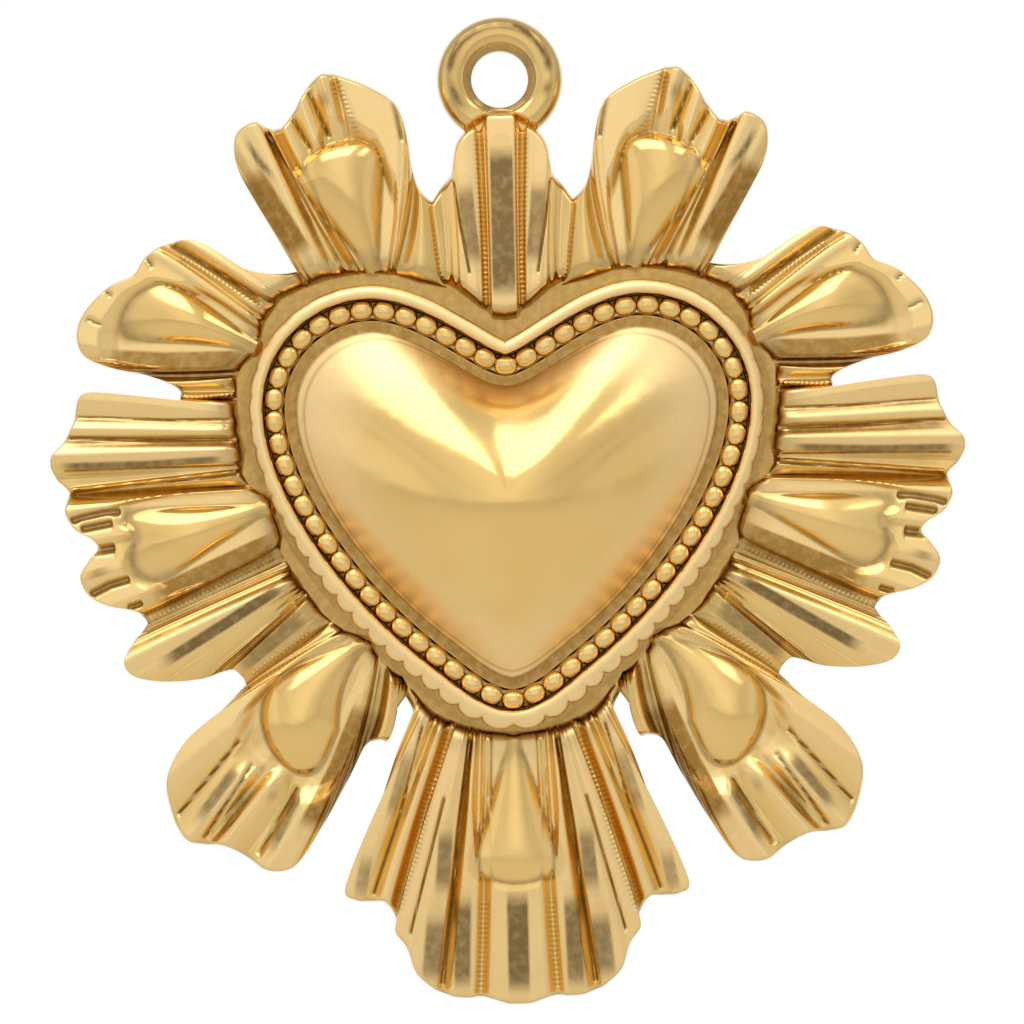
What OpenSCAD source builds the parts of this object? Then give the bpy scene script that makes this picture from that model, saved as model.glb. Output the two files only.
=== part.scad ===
// Milagro charm: a domed heart in a beaded and scalloped collar, on a glory of fluted rays.
// The charm hangs upright: X runs to its left and right, Z is up, and its front faces -Y.
// The origin is the centre of the bore of the hanging ring.
// The relief is drawn lying down, with the picture in X and Y and its height in Z, and is then
// stood up. Half of the charm is drawn, and the other half is its mirror image.

/* [Heart] */
// Half width of the heart, to the middle of the beads
heart_half_w = 11.6; // [11.2:0.1:12.2]
// Height of the lobes above the middle of the charm
heart_top = 10.2; // [9.8:0.1:10.8]
// Depth of the tip below the middle of the charm
heart_tip = 9.35; // [8.9:0.1:9.8]
// Height of the cleft above the middle of the charm
heart_cleft = 7.3; // [6.8:0.1:7.8]
// Height of the dome's crown above the plate
dome_rise = 4.6; // [3:0.1:6]
// Wall of the dome
dome_wall = 0.6; // [0.5:0.05:0.8]

/* [Collar] */
// Width of the dark flat channel round the dome
channel_w = 0.45; // [0.3:0.05:0.6]
// Thickness of the dome's flange, which is the floor of the channel
flange_t = 0.3; // [0.2:0.05:0.5]
// Number of beads on one half of the heart
half_beads = 31; // [24:1:34]
// Width of the beaded wire
bead_w = 1.0; // [0.8:0.05:1.1]
// Height of the beads above the plate
bead_h = 1.05; // [0.9:0.05:1.4]
// Width of the smooth band of the rim
rim_w = 0.6; // [0.5:0.05:0.8]
// Reach of the scallops beyond the smooth band
scallop_w = 0.4; // [0.25:0.05:0.5]
// Height of the rim above the plate
rim_h = 1.4; // [1:0.05:1.8]
// Gap at each soldered seam of the collar
seam_gap = 0.04; // [0.02:0.01:0.1]
// Lap of each trim over the edge of the plate's opening
opening_lap = 0.3; // [0.2:0.05:0.4]

/* [Rays] */
// Thickness of the struck sheet
sheet_t = 0.8; // [0.6:0.05:1]
// Height of the flutes above the ground of the sheet
flute_h = 1.15; // [0.8:0.05:1.5]
// Height of the sheet's edge at the tips of the flutes
edge_h = 0.55; // [0.4:0.05:0.7]
// Height of the teardrop bosses above the ground of the sheet
boss_h = 1.5; // [1.2:0.1:2.4]
// Wall of the bosses, which are hollow behind
boss_wall = 0.7; // [0.5:0.05:0.9]

/* [Ring] */
// Height of the ring's centre above the middle of the charm
ring_z = 21.61; // [21.4:0.05:21.9]
// Radius of the ring's outside
ring_r = 3.13; // [3:0.05:3.3]
// Radius of the ring's bore
bore_r = 1.42; // [1.2:0.02:1.6]
// Thickness of the ring from front to back
ring_t = 2.0; // [1.8:0.1:2.6]
// Length of the straight middle of the bore
bore_land = 1.2; // [0.8:0.1:1.6]
// Thickness of the ring's foot, behind the neck of the rays
foot_t = 1.0; // [0.7:0.05:1.1]
// Length of the ring's foot that the neck of the rays laps over
neck_lap = 1.57; // [1.42:0.05:1.67]

/* [Hidden] */

// Top of the neck of the rays, which follows the ring
neck_top = ring_z - ring_r + neck_lap;

// Distances outward from the middle of the beads
bead_edge = bead_w / 2;
flange_edge = -bead_edge - seam_gap;
dome_foot = flange_edge - channel_w;
opening_edge = flange_edge - opening_lap;
rim_inner = bead_edge + seam_gap;
rim_outer = rim_inner + rim_w;
collar_clear = rim_outer + scallop_w + seam_gap;
apron_edge = collar_clear + 0.9;

// Lengths over which a flute rises at its root and rolls off at its tip
root_arch = 0.7;
tip_roll = 0.5;

// Power of the flutes' wave: 1 is even and less gives narrower valleys
flute_sharp = 0.85;

// Shares of the flutes' height that the valleys and the panels round the bosses keep
valley_share = 0.45;
panel_share = 0.35;

// Start from which a ray lies fully in the panel, and the length over which it leaves the panel
full_panel = 0.3;
leave_length = 1;

// Depth of the flutes' floor below the apron round the collar
floor_drop = 0.04;

// Depth to which solids are drawn below the flat back before it is cut
below = 1;

// Length of the cutting solids, more than the charm measures
reach_past = 60;

// Shares of the way from root to tip at which a flute is drawn
flute_rows = [0, 0.1, 0.6, 0.93, 1];

// Middle of the heart, which the dome's crown lies over
heart_middle = [0, 0.8];

// Four curves of the heart's left half, from the cleft round the lobe to the tip
lobe_x = 0.578 * heart_half_w;
side_y = 0.53 * heart_top;
low_side = [-3.4, 1.95 - heart_tip];
heart_curves = [
    [[0, heart_cleft], [-1.2, heart_cleft + 0.05], [-0.6 * lobe_x, heart_top - 0.05],
        [-lobe_x, heart_top]],
    [[-lobe_x, heart_top], [-0.81 * heart_half_w, heart_top], [-heart_half_w, 0.79 * heart_top],
        [-heart_half_w, side_y]],
    [[-heart_half_w, side_y], [-heart_half_w - 0.05, 1.4], [-0.672 * heart_half_w, -0.428 * heart_tip],
        low_side],
    [low_side, low_side + [1.1, -0.9], [-1.2, 0.05 - heart_tip], [0, -heart_tip]]
];
curve_steps = 6;

// Plumes of the left half, from the top round to the bottom. Each has the line of its roots, the
// directions that its first and last rays end in, how far they bend, and one ray for each crest or
// valley: the place of its tip, its height, from 0 in a valley to 1 on a crest and below 0 where
// the sheet falls to a free side, the share of the way from root to tip at which it leaves the
// panel's height, and the place of its root, counted in points of the line of the roots.
top_plume = [
    [[0, 9.6], [-0.6, 9.7], [-0.9, 10.1], [-1.3, 10.3], [-1.9, 10.8], [-2.4, 11.2], [-2.9, 11.5],
        [-3.3, 11.6]], [90, 98], 0.5,
    [[0, neck_top, 1, 0, 0], [-0.62, neck_top - 0.02, 1, 0, 1], [-0.85, neck_top - 0.4, 0.55, 0, 1.5],
        [-1.1, neck_top - 0.75, 0.1, 0, 2], [-1.4, neck_top - 0.63, 0.9, 0, 2.6],
        [-1.95, neck_top - 1.1, 1, 0, 3.2], [-2.28, neck_top - 1.65, 1, 0, 3.6],
        [-2.45, neck_top - 2.55, 0.9, 0, 4.3], [-2.58, neck_top - 3.15, 0.5, 0, 5],
        [-3.05, 16.35, 0.02, 0, 5.8], [-3.5, 15.7, 0.3, 0, 6.7], [-3.75, 15.5, 0.1, 0, 7]]
];
upper_left_plume = [
    [[-2.9, 11.3], [-4.3, 11.6], [-5.4, 12], [-6.4, 12.1], [-7.1, 12.1], [-8, 12], [-9, 11.8],
        [-10.1, 11.4]], [96, 122], 0.3,
    [[-3.4, 15.5, -0.3, 0, 0], [-4.1, 16.2, 0.2, 0, 1], [-4.45, 17.2, -0.4, 0, 2],
        [-4.72, 19, 0.5, 0.4, 2.2], [-5, 20.1, 0.8, 0.55, 2.3], [-5.5, 20.8, 0.9, 0.6, 2.5],
        [-6.8, 21.55, 1, 0.66, 3], [-8, 22, 0.9, 0.68, 3.3], [-8.3, 22.1, 0.2, 0.68, 3.4],
        [-8.95, 22.1, 0.9, 0.68, 3.5], [-9.5, 21.65, 0.2, 0.66, 3.6], [-10, 20.9, 0.8, 0.66, 3.7],
        [-10.4, 20.2, 0.2, 0.6, 3.8], [-10.85, 19.6, 0.7, 0.6, 3.9], [-11.2, 19.4, -0.2, 0, 4.1],
        [-11.55, 19.45, 0.6, 0, 4.7], [-11.8, 19.55, 0, 0, 5.1], [-12.35, 19.8, 1, 0, 6],
        [-13.25, 19.2, 0.7, 0, 6.4], [-13.3, 17.8, 0.3, 0, 6.6], [-12.45, 16, -0.2, 0, 6.8],
        [-11, 14, -0.6, 0, 6.9], [-10.3, 13, -0.7, 0, 7], [-10.4, 12.1, -0.6, 0, 7]]
];
left_upper_plume = [
    [[-9.9, 11.5], [-11.2, 10.9], [-12, 9.8], [-12.3, 8.9], [-12.6, 8.2], [-13.2, 7.6],
        [-13.5, 7.1], [-13.5, 6.4], [-13.5, 5.95]], [152, 170], 0.2,
    [[-10.3, 12.25, 0, 0, 0], [-11.9, 12.2, 0.6, 0, 0.5], [-13.5, 12.65, 0.7, 0, 0.7],
        [-14.5, 13.35, 0.7, 0, 0.8], [-15.3, 13.87, 0.8, 0, 0.9], [-16, 13.95, 1, 0, 1.1],
        [-16.6, 13.83, 0.3, 0, 1.5], [-17, 13.7, 0.7, 0, 1.8], [-17.3, 13.6, 0.3, 0, 2],
        [-17.6, 13.4, 0.6, 0, 2.3], [-18.05, 13, 0.5, 0.3, 2.8], [-18.55, 12.25, 0.7, 0.6, 3],
        [-19.5, 11.85, 0.8, 0.6, 3.2], [-20.2, 11.35, 0.75, 0.6, 3.4], [-20.95, 10.55, 0.8, 0.6, 3.6],
        [-21.35, 9.8, 0.75, 0.6, 3.8], [-21.42, 9, 0.8, 0.6, 4], [-21.05, 8.2, 0.5, 0.6, 4.5],
        [-19.8, 7.65, -0.3, 0.2, 5.1], [-18.2, 7.3, -0.9, 0, 5.8], [-17, 6.85, 0.1, 0, 6.2],
        [-16.35, 6.45, -0.4, 0, 7], [-16.33, 6.15, 0, 0, 7.5], [-16.35, 5.85, -0.5, 0, 8]]
];
left_fan = [
    [[-13.5, 5.9], [-13.5, 5.3], [-13.4, 4.75], [-13.4, 4.3], [-13.3, 3.85], [-13.2, 3.4],
        [-13.2, 2.9], [-13.3, 2.5], [-13.3, 2.2], [-13, 1.6]], [176, 183], 0.2,
    [[-16.2, 6.05, 0.2, 0, 0], [-17.2, 5.8, 0.5, 0, 0.1], [-19, 6.02, 0.8, 0, 0.3],
        [-20.7, 6.42, 0.9, 0, 0.7], [-21.4, 6.15, 0.9, 0, 1.2], [-21.65, 5.1, 0.5, 0, 2],
        [-21.85, 4.6, 0.9, 0, 3], [-22.2, 3.98, 0.35, 0, 4], [-22.8, 3.3, 1, 0, 5],
        [-22.9, 2.7, 0.6, 0, 6], [-22.6, 2.1, -0.1, 0, 7], [-22.1, 1.6, 0, 0, 8],
        [-21.95, 1.25, -0.6, 0, 9]]
];
left_mid_plume = [
    [[-13, 1.6], [-12.2, 1.15], [-11.9, 0.8], [-11.9, 0.4], [-11.6, -0.3], [-11.4, -1],
        [-11.5, -1.7], [-11.2, -2.2]], [181, 200], 0.2,
    [[-21.95, 1.4, -0.6, 0, 0], [-22.22, 0.5, 0.8, 0.56, 1], [-21.75, -0.4, 0.7, 0.58, 1.5],
        [-20.95, -0.9, 0.8, 0.6, 2], [-20.62, -1.4, 0.7, 0.62, 2.5], [-21.1, -2, 0.8, 0.6, 3],
        [-21.52, -2.8, 0.9, 0.6, 3.3], [-21.15, -3.7, 0.7, 0.6, 3.6], [-20.2, -4.25, 0.8, 0.62, 4],
        [-18.9, -4.55, 0.3, 0.7, 4.5], [-18.35, -4.9, -0.6, 0, 6], [-18.15, -5.3, -0.5, 0, 7]]
];
leaf_ray = [
    [[-11.2, -2.2], [-10.9, -2.7], [-10.6, -3.1], [-10.4, -3.5], [-10.1, -3.9], [-9.8, -4.3],
        [-9.5, -4.8], [-9, -5.3]], [205, 222], 0.1,
    [[-18.2, -5.15, -0.5, 0, 0], [-18.5, -5.6, -0.6, 0, 0.4], [-18.95, -6.15, 0.2, 0, 1],
        [-19.38, -7.1, 1, 0, 2], [-18.9, -7.82, 0.7, 0, 2.6], [-17.4, -8.12, 0.3, 0, 3],
        [-15.6, -8.03, -0.1, 0, 3.4], [-14.6, -7.72, -0.6, 0, 3.8], [-14, -7.6, 0.2, 0, 4.4],
        [-13.7, -7.8, 0.1, 0, 5.2], [-13.45, -8.1, -0.2, 0, 6], [-13.3, -8.6, -0.5, 0, 7]]
];
lower_left_plume = [
    [[-9, -5.3], [-8.4, -5.7], [-7.6, -6], [-7.1, -6.3], [-6.8, -6.9], [-6.5, -7.4], [-6, -7.8],
        [-5.4, -8.2]], [220, 240], 0.3,
    [[-13.4, -8.4, -0.5, 0, 0], [-13.95, -8.95, -0.3, 0, 0.8], [-15, -9.98, 0.3, 0.3, 1.5],
        [-16.5, -11.2, 0.7, 0.4, 2], [-17.42, -13, 0.9, 0.5, 2.3], [-17.15, -14.9, 0.3, 0.6, 2.6],
        [-16.5, -16.05, 0.9, 0.6, 2.8], [-15.6, -16.3, 0.2, 0.6, 3], [-14.7, -16.37, 0.9, 0.6, 3.1],
        [-13.6, -16.9, 0.2, 0.6, 3.2], [-12.6, -17.62, 1, 0.6, 3.4], [-11.6, -17.7, 0.9, 0.55, 3.6],
        [-10.9, -17.3, 0.4, 0.4, 3.8], [-10, -16, -0.2, 0.2, 4], [-8.7, -13.8, -0.8, 0, 4.5],
        [-7.5, -11.6, -0.7, 0, 5.2], [-6.75, -11.27, 0.3, 0, 6], [-6.3, -11.3, 0, 0, 6.5],
        [-6.2, -10.4, -0.3, 0, 6.8], [-5.3, -9, -0.6, 0, 7]]
];
bottom_plume = [
    [[-5.2, -8.6], [-4.5, -9.4], [-4, -9.9], [-3.5, -10.2], [-3, -10.4], [-2.5, -10.6],
        [-2.1, -10.7], [-1.6, -10.85], [-0.9, -11], [0, -11.1]], [246, 270], 0.3,
    [[-5.45, -9, -0.6, 0, 0], [-5, -10.15, -0.3, 0, 0.5], [-5.82, -11.8, 0.2, 0, 0.8],
        [-7.2, -15.6, 0.6, 0, 1.1], [-8.6, -18.6, 0.9, 0, 1.5], [-8.1, -19.25, 0.9, 0, 1.9],
        [-7.3, -19.33, 0.2, 0, 2.4], [-6.6, -19.4, 0.9, 0, 3], [-6.1, -20.2, -0.3, 0, 4],
        [-6.15, -20.9, 0.7, 0, 4.4], [-5.6, -21.7, 0.8, 0, 4.8], [-5.15, -22.95, 1, 0, 5.2],
        [-4.3, -23.75, 0.8, 0, 5.6], [-3.85, -23.97, 0, 0, 6], [-3.2, -24.2, 0.8, 0.1, 6.4],
        [-2.4, -24.25, 0.7, 0.3, 6.9], [-1.95, -24.2, 0, 0, 7.3], [-1.3, -24.35, 0.9, 0.6, 8],
        [-0.6, -24.57, 1, 0.6, 8.5], [0, -24.6, 1, 0.6, 9]]
];
side_plumes = [upper_left_plume, left_upper_plume, left_fan, left_mid_plume, leaf_ray,
    lower_left_plume, bottom_plume];

// Teardrop bosses of the left half: the point, the middle of the round end and its radius
bosses = [
    [[-6.4, 12.2], [-8.3, 16.3], 2.25],
    [[-12.4, 8.5], [-17, 10.6], 1.8],
    [[-12.2, 0.5], [-16.5, -1], 2],
    [[-7.4, -6.7], [-10.7, -10.3], 2.15],
    [[0, -11.4], [0, -16.3], 2.2]
];

// Point at t, from 0 to 1, on a cubic curve with the four given points
function cubic(c, t) =
    pow(1 - t, 3) * c[0] + 3 * pow(1 - t, 2) * t * c[1] + 3 * (1 - t) * t * t * c[2] + pow(t, 3) * c[3];

// The heart's left half as a list of points, from the cleft to the tip
function half_heart(steps) = concat(
    [for (c = heart_curves, i = [0 : steps - 1]) cubic(c, i / steps)],
    [[0, -heart_tip]]);

// A list of points on the left followed by its mirror image, which shares both ends
function mirrored(p) = concat(p, [for (i = [len(p) - 2 : -1 : 1]) [-p[i][0], p[i][1]]]);

// Length of a line of points up to each of them
function lengths(p) = [
    for (i = 0, s = 0; i < len(p); s = s + (i + 1 < len(p) ? norm(p[i + 1] - p[i]) : 0), i = i + 1) s
];

// Place at the length s along a line of points
function walk(p, sums, s) =
    let (i = [for (k = [0 : len(p) - 2]) if (sums[k + 1] >= s - 1e-6) k][0])
    p[i] + (p[i + 1] - p[i]) * (s - sums[i]) / (sums[i + 1] - sums[i]);

// Stations at equal lengths along the heart's left half: place and outward direction
fine_heart = half_heart(24);
fine_sums = lengths(fine_heart);
half_length = fine_sums[len(fine_sums) - 1];
function station(share) =
    let (
        s = share * half_length,
        ahead = walk(fine_heart, fine_sums, min(s + 0.1, half_length)),
        behind = walk(fine_heart, fine_sums, max(s - 0.1, 0)),
        way = (ahead - behind) / norm(ahead - behind),
        on_axis = share < 1e-6 || share > 1 - 1e-6
    )
    [walk(fine_heart, fine_sums, s), on_axis ? [0, share < 0.5 ? 1 : -1] : [way[1], -way[0]]];

// Point at a distance outward from a station, kept on its own side in the cleft
function let_out(st, distance) =
    let (p = st[0] + distance * st[1])
    [min(p[0], 0.05 * st[0][0]), p[1]];

// Place at u on a list of points joined by straight lines, where u counts the points
function along(p, u) =
    let (i = min(floor(u), len(p) - 2))
    p[i] + (u - i) * (p[i + 1] - p[i]);

// Place at u on a smooth curve through a list of points, where u counts the points
function smooth_along(p, u) =
    let (
        i = min(floor(u), len(p) - 2),
        t = u - i,
        a = p[max(i - 1, 0)],
        b = p[i],
        c = p[i + 1],
        d = p[min(i + 2, len(p) - 1)]
    )
    b + 0.5 * t * ((c - a) + t * (2 * a - 5 * b + 4 * c - d + t * (3 * (b - c) + d - a)));

// Quarter round: 0 at 0, upright at first, and level with 1 from 1 on
function quarter(t) = t <= 0 ? 0 : t >= 1 ? 1 : sqrt(1 - pow(1 - t, 2));

// Smooth step from 0 to 1
function ease(t) = let (s = min(max(t, 0), 1)) s * s * (3 - 2 * s);

// Front point of a plume at the ray u and the share v of the way from root to tip
function plume_point(plume, u, v) =
    let (
        rays = plume[3],
        n = len(rays) - 1,
        i = min(floor(u), n - 1),
        t = u - i,
        root = along(plume[0], rays[i][4] + (rays[i + 1][4] - rays[i][4]) * t),
        tip = smooth_along([for (r = rays) [r[0], r[1]]], u),
        reach = norm(tip - root),
        way = plume[1][0] + (plume[1][1] - plume[1][0]) * u / n,
        bend = tip - plume[2] * reach * [cos(way), sin(way)],
        place = pow(1 - v, 2) * root + 2 * v * (1 - v) * bend + v * v * tip,
        wave = (1 - cos(180 * t)) / 2,
        given = rays[i][2] + (rays[i + 1][2] - rays[i][2]) * wave,
        start = rays[i][3] + (rays[i + 1][3] - rays[i][3]) * t,
        full = max(valley_share + (1 - valley_share) * given, 0),
        panel = full + (panel_share - full) * ease(start / full_panel),
        share = panel + (full - panel) * ease((v - start) * reach / leave_length),
        rise = quarter(v * reach / root_arch),
        crest = sheet_t - floor_drop + flute_h * pow(share, flute_sharp) * rise,
        front = edge_h + (crest - edge_h) * quarter((1 - v) * reach / tip_roll)
    )
    [place[0], place[1], front];

// Two triangles of the four-sided face a, b, c, d
function two(a, b, c, d) = [[a, b, c], [a, c, d]];

// Fluted sheet of one plume: a grid of points on the front, one below the back, and the edges
module plume_sheet(plume, per_ray = 2) {
    n = (len(plume[3]) - 1) * per_ray;
    m = len(flute_rows) - 1;
    front = [for (i = [0 : n], v = flute_rows) plume_point(plume, i / per_ray, v)];
    back = [for (p = front) [p[0], p[1], -below]];
    function at(k, i, j) = (k * (n + 1) + i) * (m + 1) + j;
    polyhedron(concat(front, back), [
        for (i = [0 : n - 1], j = [0 : m - 1], f = concat(
            two(at(0, i, j), at(0, i + 1, j), at(0, i + 1, j + 1), at(0, i, j + 1)),
            two(at(1, i, j), at(1, i, j + 1), at(1, i + 1, j + 1), at(1, i + 1, j)))) f,
        for (i = [0 : n - 1], f = concat(
            two(at(0, i, 0), at(1, i, 0), at(1, i + 1, 0), at(0, i + 1, 0)),
            two(at(0, i + 1, m), at(1, i + 1, m), at(1, i, m), at(0, i, m)))) f,
        for (j = [0 : m - 1], f = concat(
            two(at(0, 0, j + 1), at(1, 0, j + 1), at(1, 0, j), at(0, 0, j)),
            two(at(0, n, j), at(1, n, j), at(1, n, j + 1), at(0, n, j + 1)))) f
    ]);
}

// Closed skin over rings of points with as many points each. The first and last ring are joined.
module skin(rings) {
    n = len(rings[0]);
    m = len(rings);
    polyhedron([for (ring = rings, p = ring) p], [
        for (k = [0 : m - 1], i = [0 : n - 1], f = two(
            k * n + i, k * n + (i + 1) % n,
            (k + 1) % m * n + (i + 1) % n, (k + 1) % m * n + i)) f
    ]);
}

// Teardrop boss, taken in by the given amount for its hollow
module boss(b, inset = 0) {
    r = b[2] - inset;
    away = (b[1] - b[0]) / norm(b[1] - b[0]);
    point = b[0] + away * 2 * inset;
    hull() {
        translate([point[0], point[1], -inset])
            cylinder(r1 = 0.5, r2 = 0.15, h = sheet_t + 0.3, $fn = 10);
        translate([b[1][0], b[1][1], 0])
            scale([1, 1, (sheet_t + boss_h - inset) / r])
                sphere(r = r, $fn = 18);
    }
}

// The heart as an area, let out by the given distance
module heart_area(reach) {
    offset(r = reach, $fn = 16)
        polygon(mirrored(half_heart(curve_steps)));
}

// Both halves of what is drawn on the left
module both_sides() {
    children();
    mirror([1, 0, 0])
        children();
}

// Stands the relief up and brings the middle of the ring's bore to the origin
module stood_up() {
    translate([0, ring_t / 2, -ring_z])
        rotate([90, 0, 0])
            children();
}

module ray_plate() {
    color("gold")
        stood_up()
            difference() {
                union() {
                    both_sides() {
                        plume_sheet(top_plume);
                        for (p = side_plumes)
                            plume_sheet(p);
                        for (b = bosses)
                            boss(b);
                    }
                    translate([0, 0, -below])
                        linear_extrude(sheet_t + below)
                            heart_area(apron_edge);
                }
                // The flat back
                translate([-reach_past / 2, -reach_past / 2, -reach_past])
                    cube(reach_past);
                both_sides()
                    for (b = bosses)
                        boss(b, boss_wall);
                translate([0, 0, sheet_t])
                    linear_extrude(reach_past)
                        heart_area(collar_clear);
                translate([0, 0, -below])
                    linear_extrude(reach_past)
                        heart_area(opening_edge);
                translate([0, ring_z, -below])
                    cylinder(r = ring_r + seam_gap, h = foot_t + below, $fn = 48);
            }
}

// Ring of the dome at a share r of the way from its middle to its foot
function dome_ring(foot, r, height) =
    [for (p = foot) let (q = heart_middle + r * (p - heart_middle)) [q[0], q[1], height]];

// Powers of the dome's profile: how wide its middle stays flat and how steeply it meets its foot
dome_flat = 2.6;
dome_steep = 1.2;

// Shares of the way from the dome's middle to its foot at which it is drawn
dome_rows = [1, 0.985, 0.94, 0.86, 0.74, 0.56, 0.34, 0.1];
function dome_height(r) = pow(1 - pow(r, dome_flat), dome_steep);

module heart_dome() {
    stations = [for (i = [0 : 4 * curve_steps]) station(i / (4 * curve_steps))];
    edge = mirrored([for (s = stations) let_out(s, flange_edge)]);
    foot = mirrored([for (s = stations) let_out(s, dome_foot)]);
    inner = mirrored([for (s = stations) let_out(s, dome_foot - dome_wall)]);
    base = sheet_t;
    top = sheet_t + flange_t;
    outer_rings = [for (r = dome_rows) dome_ring(foot, r, top + (dome_rise - flange_t) * dome_height(r))];
    inner_rings = [for (r = dome_rows) dome_ring(inner, r, base + (dome_rise - dome_wall) * dome_height(r))];
    n = len(foot);
    rings = concat(
        [[for (p = edge) [p[0], p[1], base]], [for (p = edge) [p[0], p[1], top]]],
        outer_rings);
    outer_count = len(rings);
    all_count = outer_count + len(inner_rings);
    function at(k, i) = k * n + i % n;
    color("gold")
        stood_up()
            polyhedron(concat([for (ring = rings, p = ring) p], [for (ring = inner_rings, p = ring) p]), [
                for (k = [0 : outer_count - 2], i = [0 : n - 1], f = two(
                    at(k, i + 1), at(k, i), at(k + 1, i), at(k + 1, i + 1))) f,
                [for (i = [n - 1 : -1 : 0]) at(outer_count - 1, i)],
                for (k = [outer_count : all_count - 2], i = [0 : n - 1], f = two(
                    at(k, i), at(k, i + 1), at(k + 1, i + 1), at(k + 1, i))) f,
                [for (i = [0 : n - 1]) at(all_count - 1, i)],
                for (i = [0 : n - 1], f = two(
                    at(0, i), at(0, i + 1), at(outer_count, i + 1), at(outer_count, i))) f
            ]);
}

module bead_border() {
    stations = [for (i = [0 : half_beads]) station(i / half_beads)];
    bead_r = min(bead_w, half_length / half_beads) / 2 - 0.02;
    wire_h = 0.45 * bead_h;
    color("gold")
        stood_up()
            translate([0, 0, sheet_t]) {
                linear_extrude(wire_h)
                    difference() {
                        polygon(mirrored([for (st = stations) let_out(st, bead_edge)]));
                        polygon(mirrored([for (st = stations) let_out(st, -bead_edge)]));
                    }
                for (place = mirrored([for (st = stations) st[0]]))
                    translate([place[0], place[1], bead_h - bead_r])
                        sphere(r = bead_r, $fn = 24);
            }
}

module scallop_rim() {
    per_lobe = 3;
    n = half_beads * per_lobe;
    lobe = [for (i = [0 : n]) scallop_w * pow(abs(sin(180 * i / per_lobe)), 0.5)];
    stations = [for (i = [0 : n]) station(i / n)];
    // Distance outward, part of the scallop's reach, and height of each corner of the section
    section = [[rim_inner, 0, 0], [rim_inner, 0, 0.85 * rim_h], [rim_inner + 0.2, 0, rim_h],
        [rim_outer - 0.1, 0, 0.9 * rim_h], [rim_outer, 0.8, 0.5 * rim_h], [rim_outer, 1, 0]];
    color("gold")
        stood_up()
            translate([0, 0, sheet_t])
                skin([for (c = [0 : len(section) - 1])
                    let (corner = section[c])
                    [for (p = mirrored([for (i = [0 : n])
                        let_out(stations[i], corner[0] + corner[1] * lobe[i])]))
                        [p[0], p[1], corner[2]]]]);
}

module hanging_ring() {
    bevel = (ring_t - bore_land) / 2;
    round_r = 0.8;
    tips = [for (i = [0 : 2 * len(top_plume[3]) - 2]) plume_point(top_plume, i / 2, 1)];
    neck = mirrored(concat(
        [for (p = tips) [p[0] * (1 + seam_gap / 2), p[1] + seam_gap]],
        [[0, 0]]));
    color("gold")
        rotate([90, 0, 0])
            difference() {
                rotate_extrude($fn = 72)
                    difference() {
                        translate([bore_r, -ring_t / 2])
                            square([ring_r - bore_r, ring_t]);
                        for (side = [-1, 1]) {
                            // Rounded outer corner
                            difference() {
                                translate([ring_r - round_r, side > 0 ? ring_t / 2 - round_r : -ring_t / 2])
                                    square(round_r + 0.01);
                                translate([ring_r - round_r, side * (ring_t / 2 - round_r)])
                                    circle(r = round_r, $fn = 48);
                            }
                            // Rounded lip of the bore
                            difference() {
                                translate([bore_r - 0.01, side > 0 ? ring_t / 2 - bevel : -ring_t / 2])
                                    square(bevel + 0.01);
                                translate([bore_r + bevel, side * (ring_t / 2 - bevel)])
                                    circle(r = bevel, $fn = 48);
                            }
                        }
                    }
                // Step behind the neck of the rays
                translate([0, -ring_z, foot_t - ring_t / 2])
                    linear_extrude(ring_t)
                        polygon(neck);
            }
}

ray_plate();
heart_dome();
bead_border();
scallop_rim();
hanging_ring();
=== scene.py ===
import math

import bmesh
import bpy
import numpy as np
from mathutils import Matrix, Vector


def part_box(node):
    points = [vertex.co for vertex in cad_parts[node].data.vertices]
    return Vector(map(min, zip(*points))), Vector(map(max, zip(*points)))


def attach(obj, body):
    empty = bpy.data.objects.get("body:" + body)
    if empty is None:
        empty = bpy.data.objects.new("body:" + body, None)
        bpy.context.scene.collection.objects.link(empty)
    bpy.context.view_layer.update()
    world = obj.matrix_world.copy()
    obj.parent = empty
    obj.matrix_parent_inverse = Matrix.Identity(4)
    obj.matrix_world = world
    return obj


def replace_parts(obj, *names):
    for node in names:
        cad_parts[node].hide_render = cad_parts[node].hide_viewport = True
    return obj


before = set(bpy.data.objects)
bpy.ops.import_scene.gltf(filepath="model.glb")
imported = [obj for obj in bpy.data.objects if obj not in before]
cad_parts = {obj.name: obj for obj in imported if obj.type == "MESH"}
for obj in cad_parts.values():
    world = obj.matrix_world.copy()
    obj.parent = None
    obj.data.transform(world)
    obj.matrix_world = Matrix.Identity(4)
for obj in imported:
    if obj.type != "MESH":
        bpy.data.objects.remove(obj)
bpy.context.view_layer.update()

# The relief is worked out lying down, in millimetres: x to the right, y up from the middle of the
# charm and h towards the viewer from the flat back. The frame has its origin in the ring's bore.
MM = 0.001
BACK_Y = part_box("ray_plate")[1][1]
RING_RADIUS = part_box("hanging_ring")[1][2] / MM
RING_THICK = (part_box("hanging_ring")[1][1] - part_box("hanging_ring")[0][1]) / MM
DOME_TOP = (BACK_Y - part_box("heart_dome")[0][1]) / MM
PLATE_FOOT = -24.6
RING_Y = PLATE_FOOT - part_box("ray_plate")[0][2] / MM
BORE_RADIUS = 1.42

# Thickness of the plate in millimetres: of its sheet, at the tips, at the least, over a boss and
# at a free side
SHEET = 0.8
EDGE = 0.55
LEAST_EDGE = 0.33
BOSS_WALL = 0.7
SIDE_EDGE = 0.75

# How far flutes and bosses rise over the sheet, how far the flutes' floor lies below its face, how
# wide the rounds at roots, tips, free sides and bosses are, and the top of the neck over the ring
FLUTE = 1.15
BOSS = 1.5
FLOOR_DROP = 0.04
ROOT_ARCH = 0.7
TIP_ROLL = 0.5
SIDE_ROLL = 0.35
FILLET = 0.12
NECK_TOP = 20.05

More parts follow.
